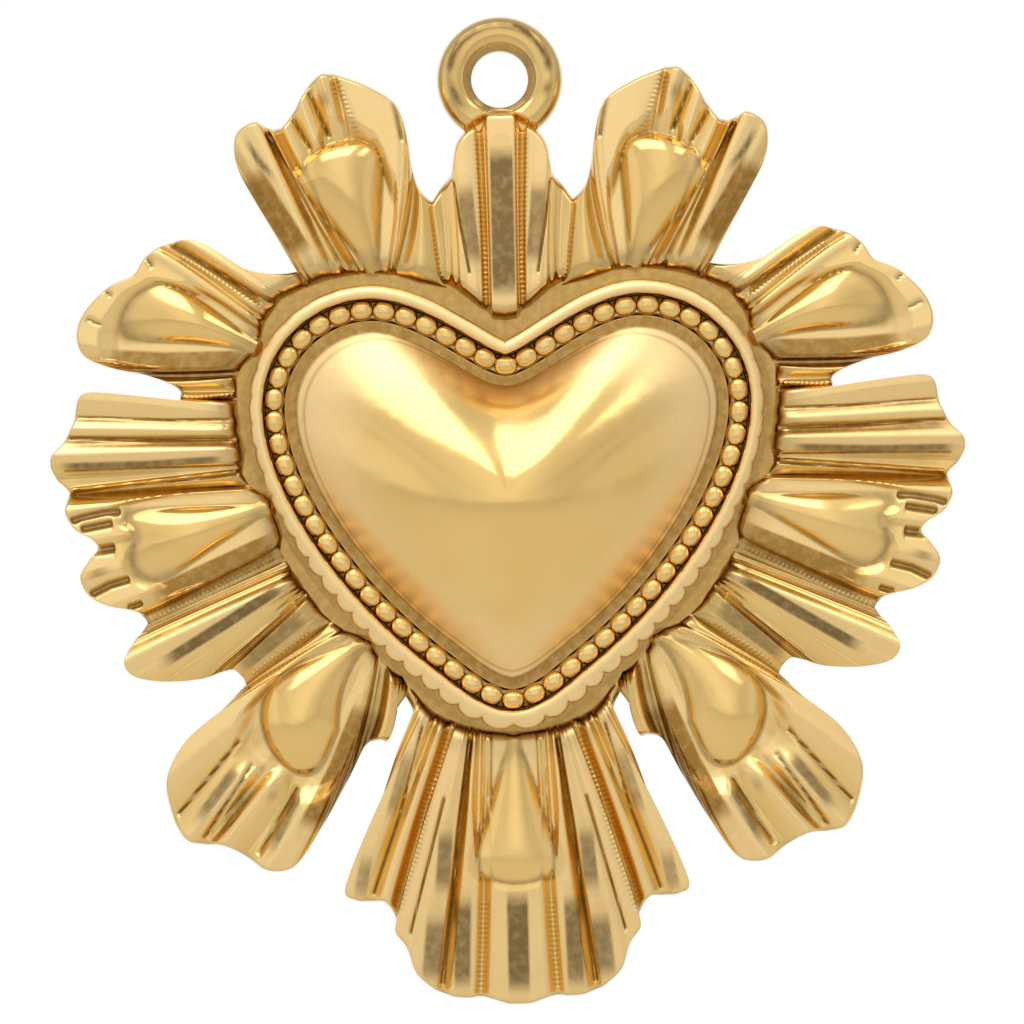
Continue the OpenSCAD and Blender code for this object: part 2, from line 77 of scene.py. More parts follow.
# Shape of the flutes: the power that fills out a crest, the shares of a crest's height that a
# valley and a panel keep, the start at which a ray has a full panel, and the length in millimetres
# over which flutes rise out of it
FLUTE_SHARP = 0.85
VALLEY = 0.45
PANEL = 0.35
FULL_PANEL = 0.3
LEAVE = 1.6

# Sizes of the heart and its collar, in millimetres. Distances run outward from the beads' middle.
HEART_HALF = 11.6
HEART_TOP = 10.2
HEART_TIP = 9.35
HEART_CLEFT = 7.3
HEART_MIDDLE = np.array([0.0, 0.8])
DOME_RISE = 4.6
CHANNEL = 0.45
FLANGE = 0.3
BEAD_WIDTH = 1.0
BEAD_RISE = 1.05
HALF_BEADS = 31
SEAM = 0.04
RIM = 0.6
SCALLOP = 0.4
RIM_RISE = 1.4
TROUGH = 0.9
BEAD_EDGE = BEAD_WIDTH / 2
FLANGE_EDGE = -BEAD_EDGE - SEAM
DOME_FOOT = FLANGE_EDGE - CHANNEL
RIM_INNER = BEAD_EDGE + SEAM
RIM_OUTER = RIM_INNER + RIM
APRON_EDGE = RIM_OUTER + SCALLOP + SEAM + TROUGH

# Tints of the gold at a point: painted grey shade and dark reflection, painted brown shade, and
# paleness that is part wear and part painted highlight
TONES = ("film", "amber", "pale")
FILM_AND_SHADE, BROWN_SHADE, PALE = range(len(TONES))

# How finely a plume is drawn: across its rays, and along them in front and at the back
ACROSS = 190
OUTWARD = 180
BACK_ROWS = 60

# Plumes of the left half, from the top round to the bottom: the line of the roots, the directions
# that the first and last rays end in, how far they bend, and a ray for each crest or valley with
# the place of its tip, its height, the share of its way at which it leaves the panel and the place
# of its root, counted in points of the line of the roots. A height of 1 is a crest, 0 a valley, and
# less than 0 a deeper one.
TOP_PLUME = (
    [(0, 9.6), (-0.6, 9.7), (-0.9, 10.1), (-1.3, 10.3), (-1.9, 10.8), (-2.4, 11.2), (-2.9, 11.5),
     (-3.3, 11.6)], (90, 98), 0.5,
    [(0, NECK_TOP, 1, 0, 0), (-0.62, NECK_TOP - 0.02, 1, 0, 1), (-0.85, 19.65, 0.55, 0, 1.5),
     (-1.1, 19.3, 0.1, 0, 2), (-1.4, 19.42, 0.9, 0, 2.6), (-1.95, 18.95, 1, 0, 3.2),
     (-2.28, 18.4, 1, 0, 3.6), (-2.45, 17.5, 0.9, 0, 4.3), (-2.58, 16.9, 0.5, 0, 5),
     (-3.05, 16.35, 0.02, 0, 5.8), (-3.5, 15.7, 0.3, 0, 6.7), (-3.75, 15.5, 0.1, 0, 7)])
UPPER_PLUME = (
    [(-2.9, 11.3), (-4.3, 11.6), (-5.4, 12), (-6.4, 12.1), (-7.1, 12.1), (-8, 12), (-9, 11.8),
     (-10.1, 11.4)], (96, 122), 0.3,
    [(-3.4, 15.5, -0.3, 0, 0), (-4.1, 16.2, 0.2, 0, 1), (-4.45, 17.2, -0.4, 0, 2),
     (-4.72, 19, 0.5, 0, 2.2), (-5, 20.1, 0.8, 0.1, 2.3), (-5.5, 20.8, 0.9, 0.3, 2.5),
     (-6.8, 21.55, 1, 0.5, 3), (-8, 22, 0.9, 0.55, 3.3), (-8.3, 22.1, 0.2, 0.55, 3.4),
     (-8.95, 22.1, 0.9, 0.55, 3.5), (-9.5, 21.65, 0.2, 0.55, 3.6), (-10, 20.9, 0.8, 0.5, 3.7),
     (-10.4, 20.2, 0.2, 0.4, 3.8), (-10.85, 19.6, 0.7, 0.3, 3.9), (-11.2, 19.4, -0.2, 0, 4.1),
     (-11.55, 19.45, 0.6, 0, 4.7), (-11.8, 19.55, 0, 0, 5.1), (-12.35, 19.8, 1, 0, 6),
     (-13.25, 19.2, 0.7, 0, 6.4), (-13.3, 17.8, 0.3, 0, 6.6), (-12.45, 16, -0.2, 0, 6.8),
     (-11, 14, -0.6, 0, 6.9), (-10.3, 13, -0.7, 0, 7), (-10.4, 12.1, -0.6, 0, 7)])
SHOULDER_PLUME = (
    [(-9.9, 11.5), (-11.2, 10.9), (-12, 9.8), (-12.3, 8.9), (-12.6, 8.2), (-13.2, 7.6),
     (-13.5, 7.1), (-13.5, 6.4), (-13.5, 5.95)], (152, 170), 0.2,
    [(-10.3, 12.25, 0, 0, 0), (-11.9, 12.2, 0.6, 0, 0.5), (-13.5, 12.65, 0.7, 0, 0.7),
     (-14.5, 13.35, 0.7, 0, 0.8), (-15.3, 13.87, 0.8, 0, 0.9), (-16, 13.95, 1, 0, 1.1),
     (-16.6, 13.83, 0.3, 0, 1.5), (-17, 13.7, 0.7, 0, 1.8), (-17.3, 13.6, 0.3, 0, 2),
     (-17.6, 13.4, 0.6, 0, 2.3), (-18.05, 13, 0.5, 0.3, 2.8), (-18.55, 12.25, 0.7, 0.6, 3),
     (-19.5, 11.85, 0.8, 0.6, 3.2), (-20.2, 11.35, 0.75, 0.6, 3.4), (-20.95, 10.55, 0.8, 0.6, 3.6),
     (-21.35, 9.8, 0.75, 0.6, 3.8), (-21.42, 9, 0.8, 0.6, 4), (-21.05, 8.2, 0.5, 0.6, 4.5),
     (-19.8, 7.65, -0.3, 0.2, 5.1), (-18.2, 7.3, -0.9, 0, 5.8), (-17, 6.85, 0.1, 0, 6.2),
     (-16.35, 6.45, -0.4, 0, 7), (-16.33, 6.15, 0, 0, 7.5), (-16.35, 5.85, -0.5, 0, 8)])
SIDE_FAN = (
    [(-13.5, 5.9), (-13.5, 5.3), (-13.4, 4.75), (-13.4, 4.3), (-13.3, 3.85), (-13.2, 3.4),
     (-13.2, 2.9), (-13.3, 2.5), (-13.3, 2.2), (-13, 1.6)], (176, 183), 0.2,
    [(-16.2, 6.05, 0.2, 0, 0), (-17.2, 5.8, 0.5, 0, 0.1), (-19, 6.02, 0.8, 0, 0.3),
     (-20.7, 6.42, 0.9, 0, 0.7), (-21.4, 6.15, 0.9, 0, 1.2), (-21.65, 5.1, 0.5, 0, 2),
     (-21.85, 4.6, 0.9, 0, 3), (-22.2, 3.98, 0.35, 0, 4), (-22.8, 3.3, 1, 0, 5),
     (-22.88, 2.7, 0.6, 0, 6), (-22.6, 2.1, -0.1, 0, 7), (-22.1, 1.6, 0, 0, 8),
     (-21.95, 1.25, -0.6, 0, 9)])
SIDE_PLUME = (
    [(-13, 1.6), (-12.2, 1.15), (-11.9, 0.8), (-11.9, 0.4), (-11.6, -0.3), (-11.4, -1),
     (-11.5, -1.7), (-11.2, -2.2)], (181, 200), 0.2,
    [(-21.95, 1.4, -0.6, 0, 0), (-22.22, 0.5, 0.7, 0.5, 1), (-21.75, -0.4, 0.6, 0.5, 1.5),
     (-20.95, -0.9, 0.7, 0.5, 2), (-20.62, -1.4, 0.6, 0.5, 2.5), (-21.1, -2, 0.7, 0.5, 3),
     (-21.52, -2.8, 0.8, 0.5, 3.3), (-21.15, -3.7, 0.6, 0.5, 3.6), (-20.2, -4.25, 0.7, 0.5, 4),
     (-18.9, -4.55, 0.3, 0.5, 4.5), (-18.35, -4.9, -0.6, 0, 6), (-18.15, -5.3, -0.5, 0, 7)])
LEAF_RAY = (
    [(-11.2, -2.2), (-10.9, -2.7), (-10.6, -3.1), (-10.4, -3.5), (-10.1, -3.9), (-9.8, -4.3),
     (-9.5, -4.8), (-9, -5.3)], (205, 222), 0.1,
    [(-18.2, -5.15, -0.5, 0, 0), (-18.5, -5.6, -0.6, 0, 0.4), (-18.95, -6.15, 0.2, 0, 1),
     (-19.38, -7.1, 1, 0, 2), (-18.9, -7.82, 0.7, 0, 2.6), (-17.4, -8.12, 0.3, 0, 3),
     (-15.6, -8.03, -0.1, 0, 3.4), (-14.6, -7.72, -0.6, 0, 3.8), (-14, -7.6, 0.2, 0, 4.4),
     (-13.7, -7.8, 0.1, 0, 5.2), (-13.45, -8.1, -0.2, 0, 6), (-13.3, -8.6, -0.5, 0, 7)])
LOWER_PLUME = (
    [(-9, -5.3), (-8.4, -5.7), (-7.6, -6), (-7.1, -6.3), (-6.8, -6.9), (-6.5, -7.4), (-6, -7.8),
     (-5.4, -8.2)], (220, 240), 0.3,
    [(-13.4, -8.4, -0.5, 0, 0), (-13.95, -8.95, -0.3, 0, 0.8), (-15, -9.98, 0.3, 0.2, 1.5),
     (-16.5, -11.2, 0.7, 0.3, 2), (-17.42, -13, 0.9, 0.4, 2.3), (-17.15, -14.9, 0.3, 0.48, 2.6),
     (-16.5, -16.05, 0.9, 0.48, 2.8), (-15.6, -16.3, 0, 0.48, 3), (-14.7, -16.37, 0.9, 0.48, 3.1),
     (-13.6, -16.9, 0, 0.48, 3.2), (-12.6, -17.62, 1, 0.48, 3.4), (-11.6, -17.7, 0.9, 0.45, 3.6),
     (-10.9, -17.3, 0.4, 0.4, 3.8), (-10, -16, -0.2, 0.2, 4), (-8.7, -13.8, -0.8, 0, 4.5),
     (-7.5, -11.6, -0.7, 0, 5.2), (-6.75, -11.27, 0.3, 0, 6), (-6.3, -11.3, 0, 0, 6.5),
     (-6.2, -10.4, -0.3, 0, 6.8), (-5.3, -9, -0.6, 0, 7)])
FOOT_PLUME = (
    [(-5.2, -8.6), (-4.5, -9.4), (-4, -9.9), (-3.5, -10.2), (-3, -10.4), (-2.5, -10.6),
     (-2.1, -10.7), (-1.6, -10.85), (-0.9, -11), (0, -11.1)], (246, 270), 0.3,
    [(-5.45, -9, -0.6, 0, 0), (-5, -10.15, -0.3, 0, 0.5), (-5.82, -11.8, 0.2, 0, 0.8),
     (-7.2, -15.6, 0.6, 0, 1.1), (-8.6, -18.6, 0.9, 0, 1.5), (-8.1, -19.25, 0.9, 0, 1.9),
     (-7.3, -19.33, 0.2, 0, 2.4), (-6.6, -19.4, 0.9, 0, 3), (-6.1, -20.2, -0.3, 0, 4),
     (-6.15, -20.9, 0.7, 0, 4.4), (-5.6, -21.7, 0.8, 0, 4.8), (-5.15, -22.95, 1, 0, 5.2),
     (-4.3, -23.75, 0.8, 0, 5.6), (-3.85, -23.97, 0, 0, 6), (-3.2, -24.2, 0.8, 0.1, 6.4),
     (-2.4, -24.25, 0.7, 0.3, 6.9), (-1.95, -24.2, 0, 0, 7.3), (-1.3, -24.35, 0.9, 0.36, 8),
     (-0.6, -24.57, 1, 0.36, 8.5), (0, PLATE_FOOT, 1, 0.36, 9)])

# Fine lines on each plume: the kind, the width, the depth and the way of the line. A line of grey or
# brown tint has no depth: it is a strip of painted grey shade and dark reflection, or of painted brown
# shade, as strong as the third value. Grooves and milgrain lines carry painted shade too.
TOP_LINES = [
    ("film", 1.15, 1, [(0, 18.3), (0, 10.6)]),
    ("film", 0.75, 0.8, [(-1.85, 16.5), (-1.7, 14.5), (-1.45, 12.2)]),
    ("milgrain", 0.3, 0.16, [(-1.22, 18.9), (-1.05, 14), (-0.88, 10.5)]),
    ("groove", 0.12, 0.12, [(-2.42, 16.6), (-2.1, 14.3), (-1.68, 11.8)]),
    ("milgrain", 0.28, 0.12, [(-3.75, 15.4), (-3.1, 11.6)]),
]
UPPER_LINES = [
    ("milgrain", 0.35, 0.16, [(-8.2, 21.9), (-7.1, 18.8)]),
    ("groove", 0.2, 0.15, [(-9.6, 21.3), (-8.5, 18.8)]),
    ("groove", 0.2, 0.15, [(-10.45, 20), (-9.4, 18.2)]),
    ("groove", 0.2, 0.15, [(-11.7, 19.3), (-10.6, 17.3), (-9.4, 14.9), (-8, 12.4)]),
    ("groove", 0.2, 0.12, [(-5.3, 20.6), (-4.9, 18.5)]),
    ("film", 0.5, 0.7, [(-8.9, 21.4), (-8.6, 20.1)]),
    ("film", 0.3, 0.9, [(-12.75, 18.9), (-12.1, 17.8), (-11.3, 16.8)]),
    ("amber", 1.1, 1, [(-12.6, 17.4), (-11.5, 15.5), (-9.9, 12.9)]),
]
SHOULDER_LINES = [
    ("groove", 0.25, 0.18, [(-16.6, 13.7), (-11.5, 10.6)]),
    ("milgrain", 0.25, 0.14, [(-16.2, 13.1), (-12, 10.5)]),
    ("groove", 0.2, 0.12, [(-17.95, 13.3), (-17.45, 12.5)]),
    ("groove", 0.2, 0.12, [(-20.05, 11.6), (-19.5, 11.1)]),
    ("groove", 0.2, 0.12, [(-20.9, 10.1), (-20, 9.7)]),
    ("milgrain", 0.2, 0.1, [(-16.3, 6.15), (-13.6, 6.15)]),
    ("amber", 1.3, 0.9, [(-12.9, 7.7), (-17, 7.7), (-19.9, 7.9)]),
]
SIDE_FAN_LINES = [
    ("groove", 0.14, 0.08, [(-21.5, 5.22), (-17, 4.95), (-13.7, 4.9)]),
    ("film", 0.26, 0.6, [(-21.5, 5.08), (-17, 4.82), (-13.6, 4.65)]),
    ("groove", 0.16, 0.1, [(-22, 4.15), (-17.5, 3.98), (-13.5, 3.95)]),
    ("film", 0.4, 0.7, [(-22.1, 3.9), (-17.5, 3.82), (-13.4, 3.75)]),
    ("film", 0.34, 0.9, [(-22.4, 2.75), (-18, 2.78), (-14, 2.95)]),
    ("groove", 0.14, 0.1, [(-22.2, 2.5), (-13.6, 2.62)]),
    ("film", 0.6, 0.35, [(-22, 2.15), (-16, 2.35)]),
    ("ridge", 0.14, 0.14, [(-21.9, 1.6), (-13.4, 2.35)]),
    ("groove", 0.14, 0.12, [(-21.8, 1.42), (-13.4, 2.2)]),
    ("film", 0.5, 0.35, [(-21, 1.3), (-15, 1.7)]),
]
SIDE_LINES = [
    ("groove", 0.4, 0.3, [(-21.9, 0), (-21.2, 0.2), (-20.2, 0.4), (-19.3, 0.45)]),
    ("groove", 0.4, 0.3, [(-21.4, -0.4), (-19.7, -0.1)]),
    ("groove", 0.5, 0.35, [(-20.8, -1.5), (-19.6, -1.35)]),
    ("groove", 0.4, 0.3, [(-21, -3.7), (-20, -3.2), (-18.9, -2.9)]),
    ("groove", 0.3, 0.25, [(-19.2, -4.4), (-18.3, -4.1)]),
    ("milgrain", 0.25, 0.14, [(-18, -5), (-16, -4.15), (-14.3, -3.25), (-11.6, -2)]),
    ("film", 0.4, 0.8, [(-21.2, -2.75), (-19.9, -2.4)]),
    ("amber", 1.4, 1, [(-11.4, -1.3), (-14.4, -2.6), (-17.8, -4.1)]),
]
LEAF_LINES = [
    ("ridge", 0.16, 0.14, [(-14.6, -7.4), (-10.7, -4.3)]),
    ("milgrain", 0.25, 0.14, [(-13.1, -7.9), (-10, -5.6)]),
    ("film", 0.55, 1, [(-17.4, -7.15), (-14, -5.1), (-11.2, -3.35)]),
    ("film", 0.9, 0.75, [(-13.8, -7.5), (-10.1, -4.7)]),
]
LOWER_LINES = [
    ("groove", 0.2, 0.16, [(-13.6, -11), (-16.9, -14.8)]),
    ("groove", 0.2, 0.16, [(-13, -12.2), (-15.6, -16)]),
    ("groove", 0.2, 0.16, [(-10.8, -13.4), (-12.9, -16.9)]),
    ("film", 0.5, 1, [(-13.7, -12.2), (-14.1, -12.8)]),
    ("film", 0.4, 1, [(-12.8, -13.2), (-13.2, -13.8)]),
    ("film", 0.4, 1, [(-11.9, -13.5), (-12.3, -14.2)]),
    ("film", 0.4, 1, [(-10.6, -13.7), (-10.9, -14.4)]),
    ("film", 0.5, 0.8, [(-13.7, -12.3), (-15.9, -15.1)]),
    ("film", 0.5, 0.7, [(-13, -13.3), (-14.7, -15.7)]),
    ("film", 0.45, 0.8, [(-10.6, -13.5), (-12.3, -16.7)]),
    ("amber", 1.5, 1, [(-7.2, -9.5), (-8.6, -12.8), (-10.2, -15.8)]),
]
FOOT_LINES = [
    ("milgrain", 0.3, 0.16, [(-1.75, -19.2), (-1.95, -23.9)]),
    ("groove", 0.16, 0.14, [(-2.2, -11.2), (-2.9, -16), (-3.2, -19), (-3.85, -23.6)]),
    ("groove", 0.14, 0.12, [(-3.5, -14), (-4.3, -17), (-5.4, -21)]),
    ("milgrain", 0.28, 0.16, [(-3.3, -11), (-4.2, -14), (-5, -17), (-6, -19.9)]),
    ("groove", 0.14, 0.12, [(-4.5, -10.4), (-5.8, -15), (-7.2, -19)]),
    ("film", 1.05, 1, [(0, -18.8), (0, -24)]),
    ("film", 0.8, 0.9, [(-2.7, -19), (-2.85, -23.8)]),
    ("film", 0.9, 0.8, [(-4.05, -19.9), (-4.4, -23.4)]),
    ("film", 0.7, 0.8, [(-3.45, -15.6), (-3.75, -19)]),
    ("film", 0.5, 0.6, [(-5.2, -11.6), (-6.3, -15.2)]),
    ("film", 0.6, 0.6, [(-7.4, -16.8), (-7.9, -19.2)]),
]

# Teardrop boss of each plume that has one: its point, its end, how far its axis bows sideways, its
# half width, the share of its length at which it is widest, and the share of its height that it
# loses towards its end
TEARDROPS = {
    "plume_upper": ((-6.35, 11.9), (-8.55, 18.6), 0, 2.6, 0.78, 0),
    "plume_shoulder": ((-12.1, 8.3), (-19.4, 10.9), -0.3, 2.2, 0.85, 0.6),
    "plume_side": ((-11.7, 0.6), (-19.6, -1.8), 0, 2.4, 0.85, 0.5),
    "plume_lower": ((-7, -6.2), (-11.2, -12.8), -1.2, 2.3, 0.6, 0.1),
    "plume_foot": ((0, -11), (0, -18.8), 0, 2.6, 0.78, 0),
}


def to_frame(points):
    """Points (x, y, h) of the relief in millimetres, stood up in the frame in metres: x stays,
    the height h runs towards -Y from the back, and y becomes Z below the ring's bore."""
    x, y, h = points[:, 0], points[:, 1], points[:, 2]
    return np.column_stack([x * MM, BACK_Y - h * MM, (y - RING_Y) * MM])


def add_piece(name, points, faces, tones, material, sharp=50):
    """A mesh of points in the relief's millimetres, riding on the charm, with its faces turned
    outward. The tones of a point are its shares of grey film, of brown film and of paleness. Where
    two faces meet at more than the sharp angle, in degrees, the light breaks."""
    mesh = bpy.data.meshes.new(name)
    mesh.from_pydata(to_frame(points), [], faces)
    shell = bmesh.new()
    shell.from_mesh(mesh)
    bmesh.ops.recalc_face_normals(shell, faces=shell.faces)
    shell.to_mesh(mesh)
    shell.free()
    for column, tone in enumerate(TONES):
        layer = mesh.attributes.new(tone, "FLOAT", "POINT")
        layer.data.foreach_set("value", np.ascontiguousarray(tones[:, column], dtype=np.float32))
    mesh.polygons.foreach_set("use_smooth", np.ones(len(mesh.polygons), dtype=bool))
    mesh.set_sharp_from_angle(angle=math.radians(sharp))
    mesh.materials.append(material)
    piece = bpy.data.objects.new(name, mesh)
    bpy.context.scene.collection.objects.link(piece)
    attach(piece, "root")
    return piece


def grid_quads(rows, columns, first=0, close_rows=False, close_columns=False):
    """Four-sided faces of a grid of rows by columns whose points are numbered row by row."""
    number = first + np.arange(rows * columns).reshape(rows, columns)
    if close_rows:
        number = np.vstack([number, number[:1]])
    if close_columns:
        number = np.hstack([number, number[:, :1]])
    corners = [number[:-1, :-1], number[1:, :-1], number[1:, 1:], number[:-1, 1:]]
    return np.stack(corners, axis=-1).reshape(-1, 4)


def both_sides(points, faces, tones):
    """The left half's mesh followed by its mirror image, whose faces are turned round."""
    mirrored = points * np.array([-1.0, 1.0, 1.0])
    turned = [tuple(len(points) + i for i in reversed(face)) for face in faces]
    return np.vstack([points, mirrored]), list(faces) + turned, np.vstack([tones, tones])


def smooth_path(points, u):
    """Catmull-Rom curve: passes each point at a whole u, with the slope of its two neighbours."""
    points = np.asarray(points, dtype=float)
    i = np.minimum(u.astype(int), len(points) - 2)
    t = (u - i)[:, None]
    a = points[np.maximum(i - 1, 0)]
    b = points[i]
    c = points[i + 1]
    d = points[np.minimum(i + 2, len(points) - 1)]
    return b + 0.5 * t * ((c - a) + t * (2 * a - 5 * b + 4 * c - d + t * (3 * (b - c) + d - a)))


def straight_path(points, u):
    """Straight lines between the points, each passed at a whole u."""
    points = np.asarray(points, dtype=float)
    i = np.minimum(u.astype(int), len(points) - 2)
    t = (u - i)[:, None]
    return points[i] * (1 - t) + points[i + 1] * t


def quarter(t):
    """Quarter round: sqrt(1 - (1 - t)^2) between 0 and 1, level outside."""
    t = np.clip(t, 0, 1)
    return np.sqrt(1 - (1 - t) ** 2)


def smooth(t):
    """Smooth step: 3t^2 - 2t^3 between 0 and 1, level outside."""
    t = np.clip(t, 0, 1)
    return t * t * (3 - 2 * t)


def line_relief(kind, width, depth, way, x, y):
    """Height of one fine line over the points x, y, and the painted shade in it. With d the distance to
    the line and s the length along it, a groove is -depth exp(-(2d/w)^2) with painted shade in its
    floor, a ridge is its opposite, and a milgrain line is a groove 0.3 as deep that holds beads, 0.6
    depth exp(-(3d/w)^2) cos^2(pi s / pitch), with painted shade between the beads. A line of grey or
    brown tint is a plain strip of painted shade with soft sides. Ends fade."""
    bead_pitch = 0.24
    fade, strip_fade, strip_side = 0.2, 1.2, 0.15
    nearest = np.full(x.shape, np.inf)
    along = np.zeros(x.shape)
    passed = 0.0
    for (ax, ay), (bx, by) in zip(way[:-1], way[1:]):
        length = math.hypot(bx - ax, by - ay)
        s = ((x - ax) * (bx - ax) + (y - ay) * (by - ay)) / length
        s_on = np.clip(s, 0, length)
        px = ax + (bx - ax) * s_on / length
        py = ay + (by - ay) * s_on / length
        d = np.hypot(x - px, y - py)
        closer = d < nearest
        nearest = np.where(closer, d, nearest)
        along = np.where(closer, passed + s_on, along)
        passed += length
    if kind in TONES:
        fading = smooth(along / strip_fade + 0.2) * smooth((passed - along) / strip_fade + 0.2)
        return 0, depth * fading * smooth((width / 2 - nearest) / strip_side + 0.5)
    ends = smooth(along / fade) * smooth((passed - along) / fade)
    band = np.exp(-(2 * nearest / width) ** 2) * ends
    # Grooves and milgrain lines also give painted shade in their floors
    if kind == "groove":
        return -depth * band, 0.8 * band
    if kind == "ridge":
        return depth * band, 0
    beads = np.exp(-(3 * nearest / width) ** 2) * np.cos(np.pi * along / bead_pitch) ** 2
    return depth * (0.6 * beads * ends - 0.3 * band), np.clip(0.5 * band - 0.4 * beads, 0, 1)


def teardrop_rise(boss, x, y, rise, inset):
    """Height of a teardrop boss over the points x, y. With q the share of its length and t the
    share of its half width, it is rise r(q) (1 - t^2)^0.75. The half width opens from a fifth as
    q^1.3 to its widest and then closes in a blunt end, (1 - c^3)^0.5. The share r climbs over the
    first three quarters, and loses the boss's own loss on the way to the end. An inset, the wall
    of the hollow behind a boss, draws the outline in and softens the slopes."""
    least_width, point = 0.05, 0.04
    (ax, ay), (bx, by), bow, half_width, widest, loss = boss
    length = math.hypot(bx - ax, by - ay)
    ex, ey = (bx - ax) / length, (by - ay) / length
    q = ((x - ax) * ex + (y - ay) * ey) / length
    side = (y - ay) * ex - (x - ax) * ey - bow * 4 * q * (1 - q)
    closing = np.clip((q - widest) / (1 - inset / length - widest), 0, 1)
    end = np.sqrt(1 - closing ** 3)
    wide = half_width * (0.2 + 0.8 * np.clip(q / widest, 0, 1) ** 1.3) * end - inset
    t = side / np.maximum(wide, least_width)
    climb = smooth(0.3 + 0.9 * q) * smooth(q / point) * (1 - loss * smooth((q - 0.4) / 0.6))
    section = np.clip(1 - t * t, 0, 1) ** (0.75 + inset)
    return rise * climb * end * section * smooth(wide / (least_width + inset))


def plume_heights(rays, u, v, reach):
    """Height of the flutes at ray u and share v, and how pale the gold is painted there. Over the floor
    stands a share of a flute's height, to the power 0.85. The share swings between rays as (1 - cos) /
    2, and up to a ray's start it is the panel's. The height rises in a quarter round at the root and
    rolls off in another at the tip. Crests are painted pale, part wear and part painted highlight."""
    i = np.minimum(u.astype(int), len(rays) - 2)
    t = u - i
    wave = (1 - np.cos(np.pi * t)) / 2
    given = (rays[i, 2] + (rays[i + 1, 2] - rays[i, 2]) * wave)[:, None]
    start = (rays[i, 3] + (rays[i + 1, 3] - rays[i, 3]) * smooth(t))[:, None]
    share = np.clip(VALLEY + (1 - VALLEY) * given, 0, 1)
    panel = share + (PANEL - share) * smooth(start / FULL_PANEL)
    share = panel + (share - panel) * smooth((v - start) * reach / LEAVE)
    crest = SHEET - FLOOR_DROP + FLUTE * share ** FLUTE_SHARP * quarter(v * reach / ROOT_ARCH)
    # Crests are painted pale: part wear, part painted highlight
    wear_and_highlight = smooth((given - 0.35) / 0.4) + 0 * v
    return EDGE + (crest - EDGE) * quarter((1 - v) * reach / TIP_ROLL), wear_and_highlight


def ray_fan(plume):
    """Rays drawn close together over a plume: for each its place u among the given rays, its root,
    its bend point, its tip and its reach. They stand partly at equal steps along the tips and
    partly at equal shares of the given rays. The bend point lies behind the tip on its heading."""
    roots, (first_way, last_way), bending, rays = plume
    rays = np.array(rays, dtype=float)
    spans = len(rays) - 1
    fine = np.linspace(0, spans, spans * 60 + 1)
    steps = np.linalg.norm(np.diff(smooth_path(rays[:, :2], fine), axis=0), axis=1)
    even = np.concatenate([[0], np.cumsum(steps)])
    even = even / even[-1]
    mixed = 0.6 * even + 0.4 * fine / spans
    u = np.interp(np.linspace(0, 1, ACROSS + 1), mixed, fine)
    root = straight_path(roots, np.interp(u, np.arange(spans + 1), rays[:, 4]))
    tip = smooth_path(rays[:, :2], u)
    reach = np.linalg.norm(tip - root, axis=1)[:, None]
    way = np.radians(first_way + (last_way - first_way) * u / spans)
    heading = np.column_stack([np.cos(way), np.sin(way)])
    return u, root, tip - bending * reach * heading, tip, reach


def along_rays(root, bend, tip, v):
    """Points x and y at the shares v of each ray, (1-v)^2 root + 2v(1-v) bend + v^2 tip."""
    near, middle, far = (1 - v) ** 2, 2 * v * (1 - v), v ** 2
    return [near * root[:, k:k + 1] + middle * bend[:, k:k + 1] + far * tip[:, k:k + 1] for k in (0, 1)]


def shell_faces():
    """Faces that close a plume: its front, its back, the strips at the roots and the tips, and the
    walls at its first and last ray, where one step of the back meets several of the front."""
    rows, columns, back_columns = ACROSS + 1, OUTWARD + 1, BACK_ROWS + 1
    first = rows * columns
    front = np.arange(first).reshape(rows, columns)
    back = first + np.arange(rows * back_columns).reshape(rows, back_columns)
    faces = grid_quads(rows, columns).tolist()
    faces += grid_quads(rows, back_columns, first)[:, ::-1].tolist()
    for end, turned in ((0, -1), (-1, 1)):
        strip = np.column_stack([front[:-1, end], back[:-1, end], back[1:, end], front[1:, end]])
        faces += strip[:, ::turned].tolist()
    step = OUTWARD // BACK_ROWS
    for ray in (0, -1):
        for k in range(BACK_ROWS):
            met = front[ray, step * k:step * (k + 1) + 1]
            faces.append([*met.tolist(), int(back[ray, k + 1]), int(back[ray, k])])
    return faces


